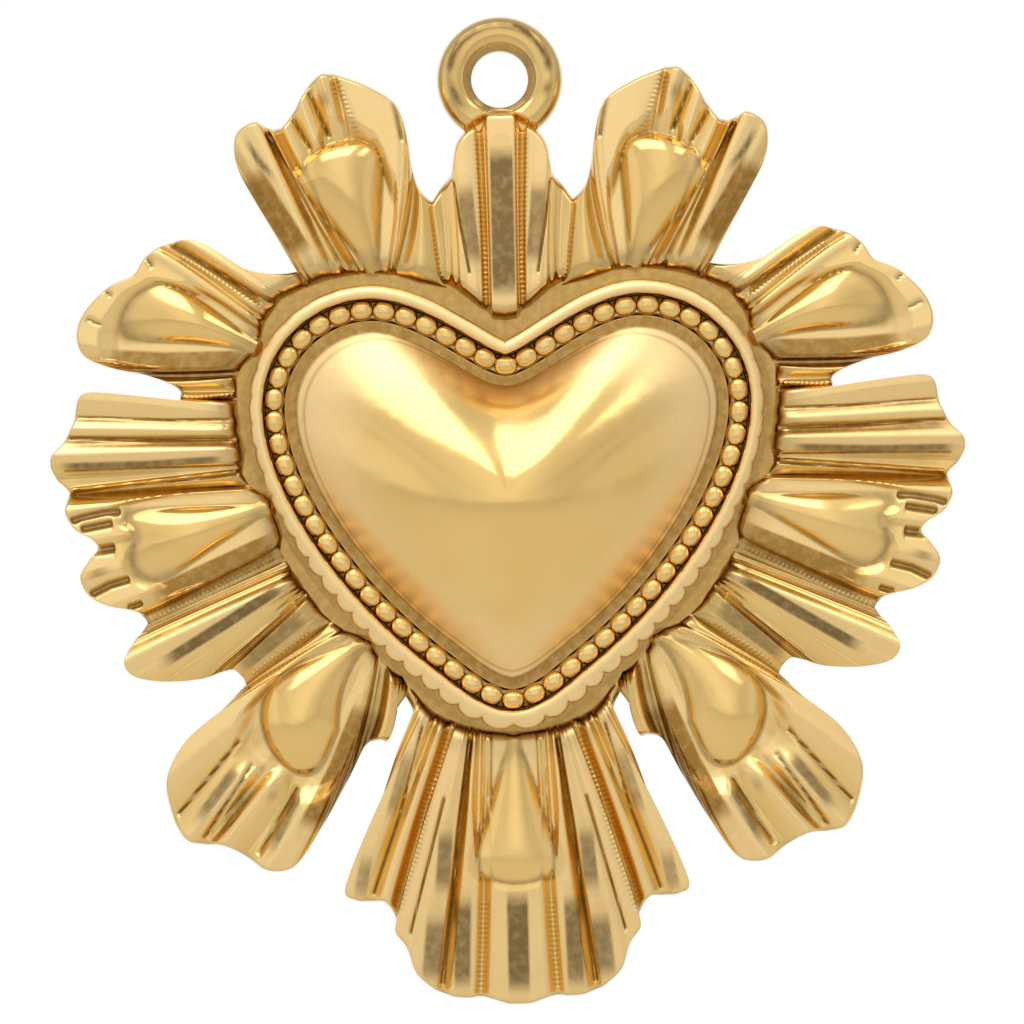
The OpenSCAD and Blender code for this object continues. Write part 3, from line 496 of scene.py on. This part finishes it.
def plume_mesh(plume, lines, boss, back_height):
    """Fluted sheet of one plume as a closed shell. A free side of the plume rolls off in a quarter
    round. The boss b joins the flutes h by the smooth greatest of the two, max(h, b) + (fillet - |h -
    b|)^2 / 4 fillet where they are closer than the fillet. Grey shade is painted in the crease round
    the boss, at the roots, on low ground that is not painted pale and in the fine lines, and lines fade
    before the tips."""
    crease_shade, root_shade, low_shade, paleness = 0.6, 0.45, 0.5, 0.5
    crease_half, root_length, low_height = 0.2, 1.3, 0.8
    relief_fade, strip_fade = 0.35, 0.5
    rays = np.array(plume[3], dtype=float)
    u, root, bend, tip, reach = ray_fan(plume)
    v = np.linspace(0, 1, OUTWARD + 1)[None, :]
    x, y = along_rays(root, bend, tip, v)
    to_tip = (1 - v) * reach
    h, wear_and_highlight = plume_heights(rays, u, v, reach)
    for edge in (0, -1):
        if rays[edge, 0] != 0:
            from_side = np.hypot(x - x[edge], y - y[edge])
            h = SIDE_EDGE + (h - SIDE_EDGE) * quarter(from_side / SIDE_ROLL)
    crease = np.zeros(x.shape)
    if boss:
        raised = SHEET + teardrop_rise(boss, x, y, BOSS, 0)
        # Painted shade in the crease where the boss meets the flutes
        crease = crease_shade * np.exp(-((h - raised) / crease_half) ** 2)
        crease = crease * smooth((raised - SHEET) / 0.3)
        blend = np.maximum(FILLET - np.abs(h - raised), 0) ** 2 / (4 * FILLET)
        h = np.maximum(h, raised) + blend * (raised > SHEET)
        wear_and_highlight = wear_and_highlight * smooth(1 - (raised - SHEET) / 0.5)
    tint = {tone: np.zeros(x.shape) for tone in TONES}
    for line in lines:
        relief, strip = line_relief(*line, x, y)
        h = h + relief * smooth(to_tip / relief_fade)
        kind = line[0] if line[0] in TONES else "film"
        tint[kind] = np.maximum(tint[kind], strip)
    h = np.maximum(h, LEAST_EDGE)
    before_tip = smooth(to_tip / strip_fade - 0.4)
    # Painted shade at the roots and on low ground that is not painted pale
    at_root = root_shade * (1 - smooth(v * reach / root_length)) * np.ones(x.shape)
    low = low_shade * (1 - wear_and_highlight) * (1 - smooth((h - SHEET) / low_height))
    tint["film"] = np.maximum.reduce([tint["film"] * before_tip, crease, at_root, low])
    tint["amber"] = tint["amber"] * before_tip
    tint["pale"] = paleness * wear_and_highlight
    back_x, back_y = along_rays(root, bend, tip, np.linspace(0, 1, BACK_ROWS + 1)[None, :])
    hollow = np.full(back_x.shape, float(back_height))
    if boss:
        hollow += teardrop_rise(boss, back_x, back_y, SHEET + BOSS - BOSS_WALL, BOSS_WALL)
    hollow[:, [0, -1]] = back_height
    hollow[[0, -1], :] = back_height
    points = np.vstack([np.dstack([x, y, h]).reshape(-1, 3),
                        np.dstack([back_x, back_y, hollow]).reshape(-1, 3)])
    tones = np.zeros((len(points), len(TONES)))
    tones[:h.size] = np.column_stack([tint[tone].ravel() for tone in TONES])
    return points, shell_faces(), tones


def heart_path(count):
    """Places and outward directions at equal lengths along the heart's left half, and its whole
    length. It is four cubic curves from the cleft round the lobe to the tip, and a direction is
    taken from the curve a little before and after its place."""
    near = 0.15
    lobe_x = 0.578 * HEART_HALF
    side_y = 0.53 * HEART_TOP
    low = np.array([-3.4, 1.95 - HEART_TIP])
    curves = np.array([
        [(0, HEART_CLEFT), (-1.2, HEART_CLEFT + 0.05), (-0.6 * lobe_x, HEART_TOP - 0.05),
         (-lobe_x, HEART_TOP)],
        [(-lobe_x, HEART_TOP), (-0.81 * HEART_HALF, HEART_TOP), (-HEART_HALF, 0.79 * HEART_TOP),
         (-HEART_HALF, side_y)],
        [(-HEART_HALF, side_y), (-HEART_HALF - 0.05, 1.4),
         (-0.672 * HEART_HALF, -0.428 * HEART_TIP), tuple(low)],
        [tuple(low), tuple(low + (1.1, -0.9)), (-1.2, 0.05 - HEART_TIP), (0, -HEART_TIP)],
    ], dtype=float)
    t = np.linspace(0, 1, 400)[:, None]
    parts = [(1 - t) ** 3 * c[0] + 3 * (1 - t) ** 2 * t * c[1] + 3 * (1 - t) * t * t * c[2]
             + t ** 3 * c[3] for c in curves]
    path = np.vstack([part[:-1] for part in parts] + [parts[-1][-1:]])
    gone = np.concatenate([[0], np.cumsum(np.linalg.norm(np.diff(path, axis=0), axis=1))])
    s = np.linspace(0, gone[-1], count + 1)
    place = np.column_stack([np.interp(s, gone, path[:, k]) for k in (0, 1)])
    ahead = np.minimum(s + near, gone[-1])
    behind = np.maximum(s - near, 0)
    step = np.column_stack([
        np.interp(ahead, gone, path[:, k]) - np.interp(behind, gone, path[:, k]) for k in (0, 1)])
    step /= np.linalg.norm(step, axis=1)[:, None]
    outward = np.column_stack([step[:, 1], -step[:, 0]])
    outward[0] = (0, 1)
    outward[-1] = (0, -1)
    return place, outward, gone[-1]


def let_out(place, outward, distance):
    """Points at a distance outward from the path, kept on their own side of the cleft."""
    moved = place + outward * np.asarray(distance)[..., None]
    moved[:, 0] = np.minimum(moved[:, 0], 0.05 * place[:, 0])
    return moved


def full_turn(half):
    """A half ring of points on the left and its mirror image, which share both ends."""
    return np.vstack([half, half[-2:0:-1] * np.array([-1.0, 1.0])])


def collar_sweep(section, count, wave=None):
    """Closed band round the heart. Each corner of the section is its distance outward, how much
    of the wave it takes, its height, how much the wave lifts it, and its tones; wave gives the
    lengths that the wave adds at each station."""
    place, outward, _ = heart_path(count)
    if wave is None:
        wave = np.zeros(count + 1)
    rings, tones = [], []
    for distance, part, height, swell, *tint in section:
        ring = full_turn(let_out(place, outward, distance + part * wave))
        lift = np.concatenate([wave, wave[-2:0:-1]])
        rings.append(np.column_stack([ring, height + swell * lift]))
        tones.append(np.tile(tint, (len(ring), 1)))
    points = np.vstack(rings)
    faces = grid_quads(len(rings), len(rings[0]), close_rows=True, close_columns=True)
    return points, faces[:, ::-1].tolist(), np.vstack(tones)


def dome_mesh():
    """Domed heart with its flange. Rings run from under the flange to the crown: at the share r of the
    way from the middle to the foot the height is rise (1 - r^a)^1.2, where a is 1.9 and falls to 1.5
    below the cleft, and the outline fades from the heart at the foot to an ellipse at the crown. The
    flange, a fine line near the foot and the foot itself are painted with brown shade, and towards its
    foot the dome is painted paler and is satin."""
    count, rows = 260, 90
    crown_x, crown_y, dome_wall = 9.2, 7.4, 0.6
    line_at, brown_from, satin_from = 0.963, 0.982, 0.66
    place, outward, _ = heart_path(count)
    top = SHEET + FLANGE
    foot = full_turn(let_out(place, outward, np.full(count + 1, DOME_FOOT)))
    edge = full_turn(let_out(place, outward, np.full(count + 1, FLANGE_EDGE)))
    wall = full_turn(let_out(place, outward, np.full(count + 1, DOME_FOOT - dome_wall)))
    rings = [np.column_stack([edge, np.full(len(edge), h)]) for h in (SHEET, top)]
    r = np.sin(np.linspace(np.pi / 2, 0.02, rows))

    def shell(outline, base, rise):
        from_middle = outline - HEART_MIDDLE
        turn = np.arctan2(from_middle[:, 1], from_middle[:, 0])
        ellipse = np.column_stack([crown_x * np.cos(turn), crown_y * np.sin(turn)])
        flat = 1.9 - 0.4 * np.exp(-((turn - np.pi / 2) / 0.5) ** 2)
        for share in r:
            keep = share ** 1.2
            ring = HEART_MIDDLE + share * (keep * from_middle + (1 - keep) * ellipse)
            yield np.column_stack([ring, base + rise * (1 - share ** flat) ** 1.2])

    outer = list(shell(foot, top, DOME_TOP - top))
    inner = list(shell(wall, SHEET, DOME_RISE - dome_wall))
    rings = rings + outer + inner[::-1]
    points = np.vstack(rings)
    n = len(foot)
    faces = grid_quads(len(rings), n, close_rows=True, close_columns=True)
    crown = (2 + rows) * n
    between = (np.min(faces, axis=1) >= crown - n) & (np.max(faces, axis=1) < crown + n)
    faces = faces[~between][:, ::-1].tolist()
    faces.append(list(range(crown - n, crown))[::-1])
    faces.append(list(range(crown, crown + n)))
    tones = np.zeros((len(points), len(TONES)))
    # Painted brown shade on the flange, in a fine line near the foot and on the foot itself, and paler
    # paint towards the foot
    tones[:3 * n, BROWN_SHADE] = 0.9
    line = 0.5 * np.exp(-((r - line_at) / 0.005) ** 2) + 0.9 * smooth((r - brown_from) / 0.012)
    tones[2 * n:crown, BROWN_SHADE] = np.repeat(line, n)
    tones[2 * n:crown, PALE] = np.repeat(0.8 * smooth((r - satin_from) / 0.25), n)
    return points, faces, tones


def bead_wire_mesh():
    """Wire under the beads: a band painted with grey shade, with a thin lip on its inner edge, which
    waves in and out once a bead. The lip's top is painted pale as a highlight and its foot with brown
    shade."""
    count = HALF_BEADS * 14
    turn = np.linspace(0, HALF_BEADS, count + 1)
    wave = 0.5 - 0.5 * np.cos(2 * np.pi * turn)
    lip = -BEAD_EDGE
    # Tints: brown painted shade at the lip's foot, the lip's top painted pale as a highlight, grey
    # painted shade along the band under the beads
    section = [
        (lip, 0, SHEET, 0, 0, 0.9, 0), (lip, 0.1, SHEET + 0.5, 0, 0, 0.5, 0),
        (lip + 0.04, 0.12, SHEET + 0.6, 0, 0, 0, 0.8), (lip + 0.1, 0.12, SHEET + 0.58, 0, 0, 0, 0.8),
        (lip + 0.15, 0.05, SHEET + 0.48, 0, 0.9, 0, 0), (0, 0, SHEET + 0.48, 0, 0.9, 0, 0),
        (BEAD_EDGE - 0.1, 0, SHEET + 0.5, 0, 0.9, 0, 0), (BEAD_EDGE, 0, SHEET + 0.4, 0, 0.9, 0, 0),
        (BEAD_EDGE, 0, SHEET, 0, 0.9, 0, 0)]
    return collar_sweep(section, count, wave)


def beads_mesh():
    """Beads at equal steps: each is a ball whose three coordinates are raised to the power 0.8, which
    makes it squarer, and whose foot is painted with grey shade."""
    bands, sides = 15, 28
    place, outward, length = heart_path(HALF_BEADS)
    pitch = length / HALF_BEADS
    along_r = pitch / 2 + 0.02
    across_r, up_r, middle = 0.48, 0.48, BEAD_RISE - 0.5
    outward_by = 0.04
    squareness = 0.8
    latitude = np.linspace(-np.pi / 2, np.pi / 2, bands)[:, None]
    longitude = np.linspace(0, 2 * np.pi, sides, endpoint=False)[None, :]
    ball = np.stack([np.cos(latitude) * np.cos(longitude), np.cos(latitude) * np.sin(longitude),
                     np.sin(latitude) + 0 * longitude], axis=-1).reshape(-1, 3)
    ball = np.sign(ball) * np.abs(ball) ** squareness
    faces = grid_quads(bands, sides, close_columns=True)
    centres = full_turn(place)
    ways = full_turn(outward)
    points, all_faces, tones = [], [], []
    for k, (centre, way) in enumerate(zip(centres, ways)):
        tangent = np.array([-way[1], way[0]])
        flat = centre + (ball[:, :1] * across_r + outward_by) * way + ball[:, 1:2] * tangent * along_r
        height = SHEET + middle + ball[:, 2] * up_r
        points.append(np.column_stack([flat, height]))
        all_faces.append(faces + k * len(ball))
        # Painted grey shade on the lower part of each bead
        foot = smooth((0.55 - ball[:, 2]) / 0.3)
        tones.append(np.column_stack([0.9 * foot, 0 * foot, 0 * foot]))
    return np.vstack(points), np.vstack(all_faces).tolist(), np.vstack(tones)


def rim_mesh():
    """Smooth convex band with a scalloped foot, wider towards the heart's tip. The scallop reaches
    out as the square root of |sin|, one lobe a bead, flat along the top of the heart and deepest
    at the tip."""
    count = HALF_BEADS * 16
    turn = np.linspace(0, HALF_BEADS, count + 1)
    share = turn / HALF_BEADS
    low = smooth((share - 0.45) / 0.35)
    lobes = (0.1 + 0.25 * low) * smooth((share - 0.2) / 0.2)
    wave = 0.15 + 0.35 * low - lobes + lobes * np.abs(np.sin(np.pi * turn)) ** 0.5
    top = SHEET + RIM_RISE
    outer = RIM_OUTER - 0.1
    # Tints: the inner wall is painted with grey shade, the top pale as a painted highlight, the
    # scalloped foot with brown shade
    section = [
        (RIM_INNER, 0, SHEET, 0, 0.6, 0, 0), (RIM_INNER, 0, top - 0.4, 0, 0.5, 0, 0),
        (RIM_INNER + 0.04, 0, top - 0.15, 0, 0, 0, 0.7),
        (RIM_INNER + 0.11, 0, top - 0.04, 0, 0, 0, 0.8),
        (RIM_INNER + 0.2, 0, top, 0, 0, 0, 0.8), (RIM_INNER + 0.38, 0.2, top - 0.02, 0, 0, 0, 0.8),
        (outer - 0.05, 0.5, top - 0.1, 0, 0, 0, 0.8), (outer + 0.03, 0.7, top - 0.2, 0, 0, 0, 0.8),
        (outer + 0.07, 0.85, top - 0.36, 0.1, 0, 0, 0.6),
        (outer + 0.05, 0.95, top - 0.6, 0.1, 0, 0.3, 0),
        (outer + 0.03, 1, top - 0.9, 0, 0, 0.7, 0), (outer, 1, SHEET, 0, 0, 0.8, 0)]
    return collar_sweep(section, count, wave)


def apron_mesh():
    """Ground of the plate round the collar: a trough outside the rim, which sinks below the
    roots of the flutes."""
    foot = DOME_FOOT
    # The trough is painted with brown shade
    section = [
        (foot, 0, 0.01, 0, 0, 0, 0), (foot, 0, SHEET - 0.01, 0, 0, 0, 0),
        (RIM_OUTER, 0, SHEET - 0.01, 0, 0, 0.8, 0), (RIM_OUTER + 0.35, 0, SHEET - 0.14, 0, 0, 0.7, 0),
        (RIM_OUTER + 0.7, 0, SHEET - 0.2, 0, 0, 0.7, 0), (APRON_EDGE, 0, SHEET - 0.16, 0, 0, 0.8, 0),
        (APRON_EDGE, 0, 0.01, 0, 0, 0, 0)]
    return collar_sweep(section, 300)


def neck_share(x, y):
    """1 where the neck of the top plume covers the ring's foot, fading to 0 outside it. The neck's
    top falls by 0.35 |x|^1.5 to its sides."""
    half_width, margin, fade = 2.2, 0.1, 0.4
    top = NECK_TOP - 0.35 * np.abs(x) ** 1.5
    return smooth((top + margin - y) / fade) * smooth((half_width - np.abs(x)) / fade)


def ring_mesh():
    """Hanging ring: a rounded wire section swept round the bore's axis. Its outside and its crown are
    quarter ellipses, and inside a lip the hole's wall slopes in to the bore's straight middle with fine
    ridges. Behind the neck its front sinks. It is painted a little grey all over, with painted shade in
    the hole, and darker in a bow over its upper half, low on its left limb and at the middle of its
    right one."""
    around = 300
    half = RING_THICK / 2
    crown_r, lip_r, bow_r = 2.4, 1.76, 2.45
    land, lip_depth, sunk = 0.25, 0.72, 1.3
    left_limb, right_limb = 3.5, 6.07
    arc = np.linspace(0, np.pi / 2, 14)
    slope = np.linspace(0, 1, 19)
    ridges = 0.025 * np.sin(6 * np.pi * slope) ** 2
    wall_r = BORE_RADIUS + (lip_r - BORE_RADIUS) * slope - ridges
    wall_depth = land + (lip_depth - land) * slope
    inner_r = crown_r - (crown_r - lip_r) * np.cos(arc)
    inner_depth = lip_depth + (half - lip_depth) * np.sin(arc)
    outer_r = crown_r + (RING_RADIUS - crown_r) * np.sin(arc)
    outer_depth = half * np.cos(arc)
    front_r = np.concatenate([wall_r, inner_r[1:], outer_r[1:]])
    front_depth = np.concatenate([wall_depth, inner_depth[1:], outer_depth[1:]])
    section_r = np.concatenate([front_r, front_r[-2::-1]])[None, :]
    section_depth = np.concatenate([front_depth, -front_depth[-2::-1]])[None, :]
    turn = np.linspace(0, 2 * np.pi, around, endpoint=False)[:, None]
    x = section_r * np.cos(turn)
    y = RING_Y + section_r * np.sin(turn)
    h = half + section_depth + 0 * turn
    h = h - np.maximum(h - sunk, 0) * neck_share(x, y)
    points = np.dstack([x, y, h]).reshape(-1, 3)
    faces = grid_quads(around, section_r.size, close_rows=True, close_columns=True)
    tones = np.zeros((len(points), len(TONES)))
    bow = np.exp(-((section_r - bow_r - 0.2 * np.sin(turn)) / 0.2) ** 2)
    limbs = np.exp(-((turn - left_limb) / 0.35) ** 2) \
        + 0.7 * np.exp(-((turn - right_limb) / 0.15) ** 2)
    in_hole = smooth((lip_r - section_r) / 0.1)
    # Grey tint: a little all over, painted shade in the hole, darker in the bow and on the limbs
    film = 0.15 + 0.4 * in_hole + bow * (smooth(3 * np.sin(turn)) + limbs)
    tones[:, FILM_AND_SHADE] = np.clip(film, 0, 1).ravel()
    return points, faces[:, ::-1].tolist(), tones


def linear(hex_colour):
    """sRGB hex to linear red, green, blue and full alpha."""
    channels = [int(hex_colour[i:i + 2], 16) / 255 for i in (1, 3, 5)]
    return [c / 12.92 if c <= 0.04045 else ((c + 0.055) / 1.055) ** 2.4 for c in channels] + [1.0]


def add_node(tree, kind, links=(), **settings):
    """A node of the given kind. Names in settings are its inputs or its properties, and links
    are pairs of an input's name or number and the socket that feeds it."""
    node = tree.nodes.new(kind)
    for name, value in settings.items():
        if name in node.inputs:
            node.inputs[name].default_value = value
        else:
            setattr(node, name, value)
    for name, socket in links:
        tree.links.new(socket, node.inputs[name])
    return node


def carried(tree, socket, first, last, to_first=0.0, to_last=1.0):
    """The socket's value carried from one range to another, and held at the range's ends."""
    node = add_node(tree, "ShaderNodeMapRange", [("Value", socket)])
    for name, value in zip(("From Min", "From Max", "To Min", "To Max"),
                           (first, last, to_first, to_last)):
        node.inputs[name].default_value = value
    return node.outputs["Result"]


def worked(tree, operation, *values, clamped=False):
    """Result of a sum on values, each a number or a socket."""
    node = add_node(tree, "ShaderNodeMath", operation=operation, use_clamp=clamped)
    for place, value in enumerate(values):
        if isinstance(value, (int, float)):
            node.inputs[place].default_value = value
        else:
            tree.links.new(value, node.inputs[place])
    return node.outputs["Value"]


def colour_ramp(tree, share, stops):
    """Colour at a share, mixed between stops that are each a share and a colour."""
    node = add_node(tree, "ShaderNodeValToRGB", [("Fac", share)])
    elements = node.color_ramp.elements
    for element, (position, colour) in zip(elements, (stops[0], stops[-1])):
        element.position = position
        element.color = colour
    for position, colour in stops[1:-1]:
        elements.new(position).color = colour
    return node.outputs["Color"]


def new_material(name):
    """A material with its node tree and its shader."""
    material = bpy.data.materials.new(name)
    material.use_nodes = True
    return material, material.node_tree, material.node_tree.nodes["Principled BSDF"]


def polished_gold():
    """Gold plating on struck brass, polished on a wheel and handled since: bright, warm reflections,
    faint hairlines, a slight swell, and the painted grey and brown shade and the paleness that a piece
    is given."""
    material, tree, shader = new_material("polished_gold_plating")
    shader.inputs["Metallic"].default_value = 1.0
    where = add_node(tree, "ShaderNodeTexCoord").outputs["Object"]
    # Film in patches about 3 mm across
    film = add_node(tree, "ShaderNodeTexNoise", [("Vector", where)], Scale=1 / (3 * MM), Detail=4.0)
    rough = carried(tree, film.outputs["Fac"], 0.35, 0.7, 0.13, 0.22)
    # Where a piece is painted pale it is also satin
    wear_and_highlight = add_node(tree, "ShaderNodeAttribute", attribute_name="pale").outputs["Fac"]
    satin = worked(tree, "MULTIPLY_ADD", wear_and_highlight, 0.25, rough, clamped=True)
    tree.links.new(satin, shader.inputs["Roughness"])
    tint = colour_ramp(tree, film.outputs["Fac"], [(0.3, linear("#F3CB7F")), (0.7, linear("#F7D38B"))])
    # The painted shade and paleness that a piece is given break up a little, in spots about 0.4 mm
    # across
    spots = add_node(tree, "ShaderNodeTexNoise", [("Vector", where)], Scale=1 / (0.4 * MM), Detail=3.0)
    broken = carried(tree, spots.outputs["Fac"], 0.3, 0.6, 0.8, 1.05)
    # Colours of the paleness, of the painted brown shade, and of the painted grey shade and dark
    # reflection
    for given, colour in (("pale", "#FFDFA4"), ("amber", "#A67C3C"), ("film", "#887048")):
        share = add_node(tree, "ShaderNodeAttribute", attribute_name=given).outputs["Fac"]
        spotted = worked(tree, "MULTIPLY", share, broken, clamped=True)
        mixed = add_node(tree, "ShaderNodeMix", [(0, spotted), (6, tint)], data_type="RGBA")
        mixed.inputs[7].default_value = linear(colour)
        tint = mixed.outputs[2]
    tree.links.new(tint, shader.inputs["Base Color"])
    # Hairlines from the polishing wheel, 0.12 mm apart and 4 mm long, and the struck sheet's swell
    stretched = add_node(tree, "ShaderNodeMapping", [("Vector", where)])
    stretched.inputs["Rotation"].default_value = (0, 0.6, 0)
    stretched.inputs["Scale"].default_value = (1 / (4 * MM), 1 / (1 * MM), 1 / (0.12 * MM))
    hairs = add_node(tree, "ShaderNodeTexNoise", [("Vector", stretched.outputs["Vector"])],
                     Scale=1.0, Detail=3.0)
    swell = add_node(tree, "ShaderNodeTexNoise", [("Vector", where)], Scale=1 / (1.6 * MM), Detail=2.0)
    fine = add_node(tree, "ShaderNodeBump", [("Height", hairs.outputs["Fac"])],
                    Strength=0.05, Distance=0.02 * MM)
    broad = add_node(tree, "ShaderNodeBump",
                     [("Height", swell.outputs["Fac"]), ("Normal", fine.outputs["Normal"])],
                     Strength=0.35, Distance=0.05 * MM)
    tree.links.new(broad.outputs["Normal"], shader.inputs["Normal"])
    return material


def pale_floor_material():
    """Matt white paper: it shows as plain white and still takes the charm's shadow."""
    material, _, shader = new_material("matt_white_paper")
    shader.inputs["Base Color"].default_value = linear("#E6E5E2")
    shader.inputs["Roughness"].default_value = 0.9
    return material


def add_light(name, place, aim, size, level):
    """Soft rectangular lamp at a place, facing a point, both in millimetres of the frame. Its
    level is how bright its face is, where 1 is white: the power is level pi area."""
    data = bpy.data.lights.new(name, "AREA")
    data.shape = "RECTANGLE"
    data.size, data.size_y = size[0] * MM, size[1] * MM
    data.energy = level * math.pi * data.size * data.size_y
    lamp = bpy.data.objects.new(name, data)
    bpy.context.scene.collection.objects.link(lamp)
    lamp.location = [c * MM for c in place]
    lamp.rotation_mode = "QUATERNION"
    from_aim = Vector([p - a for p, a in zip(place, aim)])
    lamp.rotation_quaternion = from_aim.to_track_quat("Z", "Y")


def hoop_shade(tree, way, height, radius, dark):
    """Brightness that a hoop of the tent leaves in a direction: 1, less the hoop's darkness where
    the direction, seen from the front, lies on a circle of the given height and radius."""
    seen = add_node(tree, "ShaderNodeVectorMath", [(0, way)], operation="MULTIPLY")
    seen.inputs[1].default_value = (1, 0, 1)
    away = add_node(tree, "ShaderNodeVectorMath", [(0, seen.outputs["Vector"])], operation="DISTANCE")
    away.inputs[1].default_value = (0, 0, height)
    off = worked(tree, "ABSOLUTE", worked(tree, "SUBTRACT", away.outputs["Value"], radius))
    return carried(tree, off, 0.008, 0.035, 1 - dark, 1.0)


def white_tent():
    """Photographer's tent: a pale room that is even in front, dimmer towards its side walls, pale
    again at the sides, and dimmer behind, round a sheet of white paper. Two hoops cross it."""
    world = bpy.data.worlds.new("white_tent")
    bpy.context.scene.world = world
    world.use_nodes = True
    tree = world.node_tree
    tree.nodes.clear()
    way = add_node(tree, "ShaderNodeTexCoord").outputs["Generated"]
    apart = add_node(tree, "ShaderNodeSeparateXYZ", [("Vector", way)])
    # In front, a direction meets a wall that is told by its share to the right
    across = carried(tree, apart.outputs["X"], -1.0, 1.0)
    between = ((0.06, 0.94), (0.12, 0.86), (0.2, 0.8), (0.36, 0.95), (0.44, 1.0),
               (0.56, 1.0), (0.64, 0.88), (0.8, 0.66), (0.9, 0.74), (0.96, 0.78))
    stops = [(share, (level, level, level * 0.98, 1)) for share, level in between]
    left, right = (0.0, (0.85, 0.85, 0.84, 1)), (1.0, (0.55, 0.55, 0.54, 1))
    walls = colour_ramp(tree, across, [left, *stops, right])
    upper_hoop = hoop_shade(tree, way, 0.65, 0.7, 0.12)
    lower_hoop = hoop_shade(tree, way, 0.26, 0.756, 0.16)
    hoops = worked(tree, "MULTIPLY", upper_hoop, lower_hoop)
    front = add_node(tree, "ShaderNodeVectorMath", [(0, walls), ("Scale", hoops)], operation="SCALE")
    # Behind, the room is dim below and pale above, and the paper is white
    height = carried(tree, apart.outputs["Z"], -0.6, 0.7, 0.3, 0.65)
    behind = carried(tree, apart.outputs["Y"], -0.05, 0.3)
    room = add_node(tree, "ShaderNodeMix", [(0, behind), (6, front.outputs["Vector"]), (7, height)],
                    data_type="RGBA")
    at_paper = carried(tree, apart.outputs["Y"], 0.65, 0.8)
    # The lens sees white paper all round, and the metal shows it where it stands, behind
    rays = add_node(tree, "ShaderNodeLightPath").outputs
    mirrored = worked(tree, "ADD", rays["Is Glossy Ray"], rays["Is Transmission Ray"], clamped=True)
    in_metal = worked(tree, "MULTIPLY", mirrored, at_paper)
    seen = worked(tree, "ADD", rays["Is Camera Ray"], in_metal, clamped=True)
    walls_light = add_node(tree, "ShaderNodeBackground", [("Color", room.outputs[2])], Strength=1.0)
    paper = add_node(tree, "ShaderNodeBackground", Color=(1, 1, 1, 1), Strength=1.0)
    choice = add_node(tree, "ShaderNodeMixShader",
                      [(0, seen), (1, walls_light.outputs["Background"]),
                       (2, paper.outputs["Background"])])
    add_node(tree, "ShaderNodeOutputWorld", [("Surface", choice.outputs["Shader"])])


def add_camera():
    """Camera in front of the charm, 180 mm away, whose frame is 51.2 mm wide at the flutes and
    leans as the photograph does."""
    distance, width, lean = 180, 51.2, math.radians(1.25)
    data = bpy.data.cameras.new("camera")
    data.lens = data.sensor_width * distance / width
    data.clip_start = 0.01
    camera = bpy.data.objects.new("camera", data)
    bpy.context.scene.collection.objects.link(camera)
    camera.location = (0.15 * MM, -distance * MM, -RING_Y * MM)
    camera.rotation_mode = "XYZ"
    turned = Matrix.Rotation(math.radians(90), 4, "X") @ Matrix.Rotation(-lean, 4, "Z")
    camera.rotation_euler = turned.to_euler()
    bpy.context.scene.camera = camera


def add_floor():
    """Paper under the hanging charm, below the photograph's frame."""
    half_width, front, behind, drop = 250, -300, 60, 62
    mesh = bpy.data.meshes.new("floor")
    corners = [(-half_width, front), (half_width, front), (half_width, behind), (-half_width, behind)]
    mesh.from_pydata([(x * MM, y * MM, -drop * MM) for x, y in corners], [], [range(len(corners))])
    mesh.materials.append(pale_floor_material())
    floor = bpy.data.objects.new("floor", mesh)
    bpy.context.scene.collection.objects.link(floor)


# Neighbouring plumes overlap, so each one's back lies a layer in front of the one before
LAYER = 0.004
PLUMES = [
    ("plume_top", TOP_PLUME, TOP_LINES), ("plume_upper", UPPER_PLUME, UPPER_LINES),
    ("plume_shoulder", SHOULDER_PLUME, SHOULDER_LINES), ("fan_side", SIDE_FAN, SIDE_FAN_LINES),
    ("plume_side", SIDE_PLUME, SIDE_LINES), ("ray_leaf", LEAF_RAY, LEAF_LINES),
    ("plume_lower", LOWER_PLUME, LOWER_LINES), ("plume_foot", FOOT_PLUME, FOOT_LINES),
]

gold = polished_gold()
for order, (name, plume, lines) in enumerate(PLUMES):
    halves = both_sides(*plume_mesh(plume, lines, TEARDROPS.get(name), LAYER * order))
    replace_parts(add_piece(name, *halves, gold), "ray_plate")

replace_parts(add_piece("apron", *apron_mesh(), gold), "ray_plate")
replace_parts(add_piece("dome", *dome_mesh(), gold, sharp=35), "heart_dome")
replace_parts(add_piece("bead_wire", *bead_wire_mesh(), gold), "bead_border")
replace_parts(add_piece("beads", *beads_mesh(), gold, sharp=180), "bead_border")
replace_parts(add_piece("rim", *rim_mesh(), gold), "scallop_rim")
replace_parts(add_piece("ring", *ring_mesh(), gold), "hanging_ring")

add_camera()
white_tent()
add_floor()

# Two softboxes side by side, in front of the heart and above it, with a dark gap between them
forward, above, depth, level = 60, 130, 110, 1.5
for side, middle, width in (("left", -38, 133), ("right", 95, 42)):
    place, aim = (middle, -forward, above - RING_Y), (middle, 0, -RING_Y)
    add_light(f"overhead_softbox_{side}", place, aim, (width, depth), level)

scene = bpy.context.scene
scene.view_settings.view_transform = "Standard"
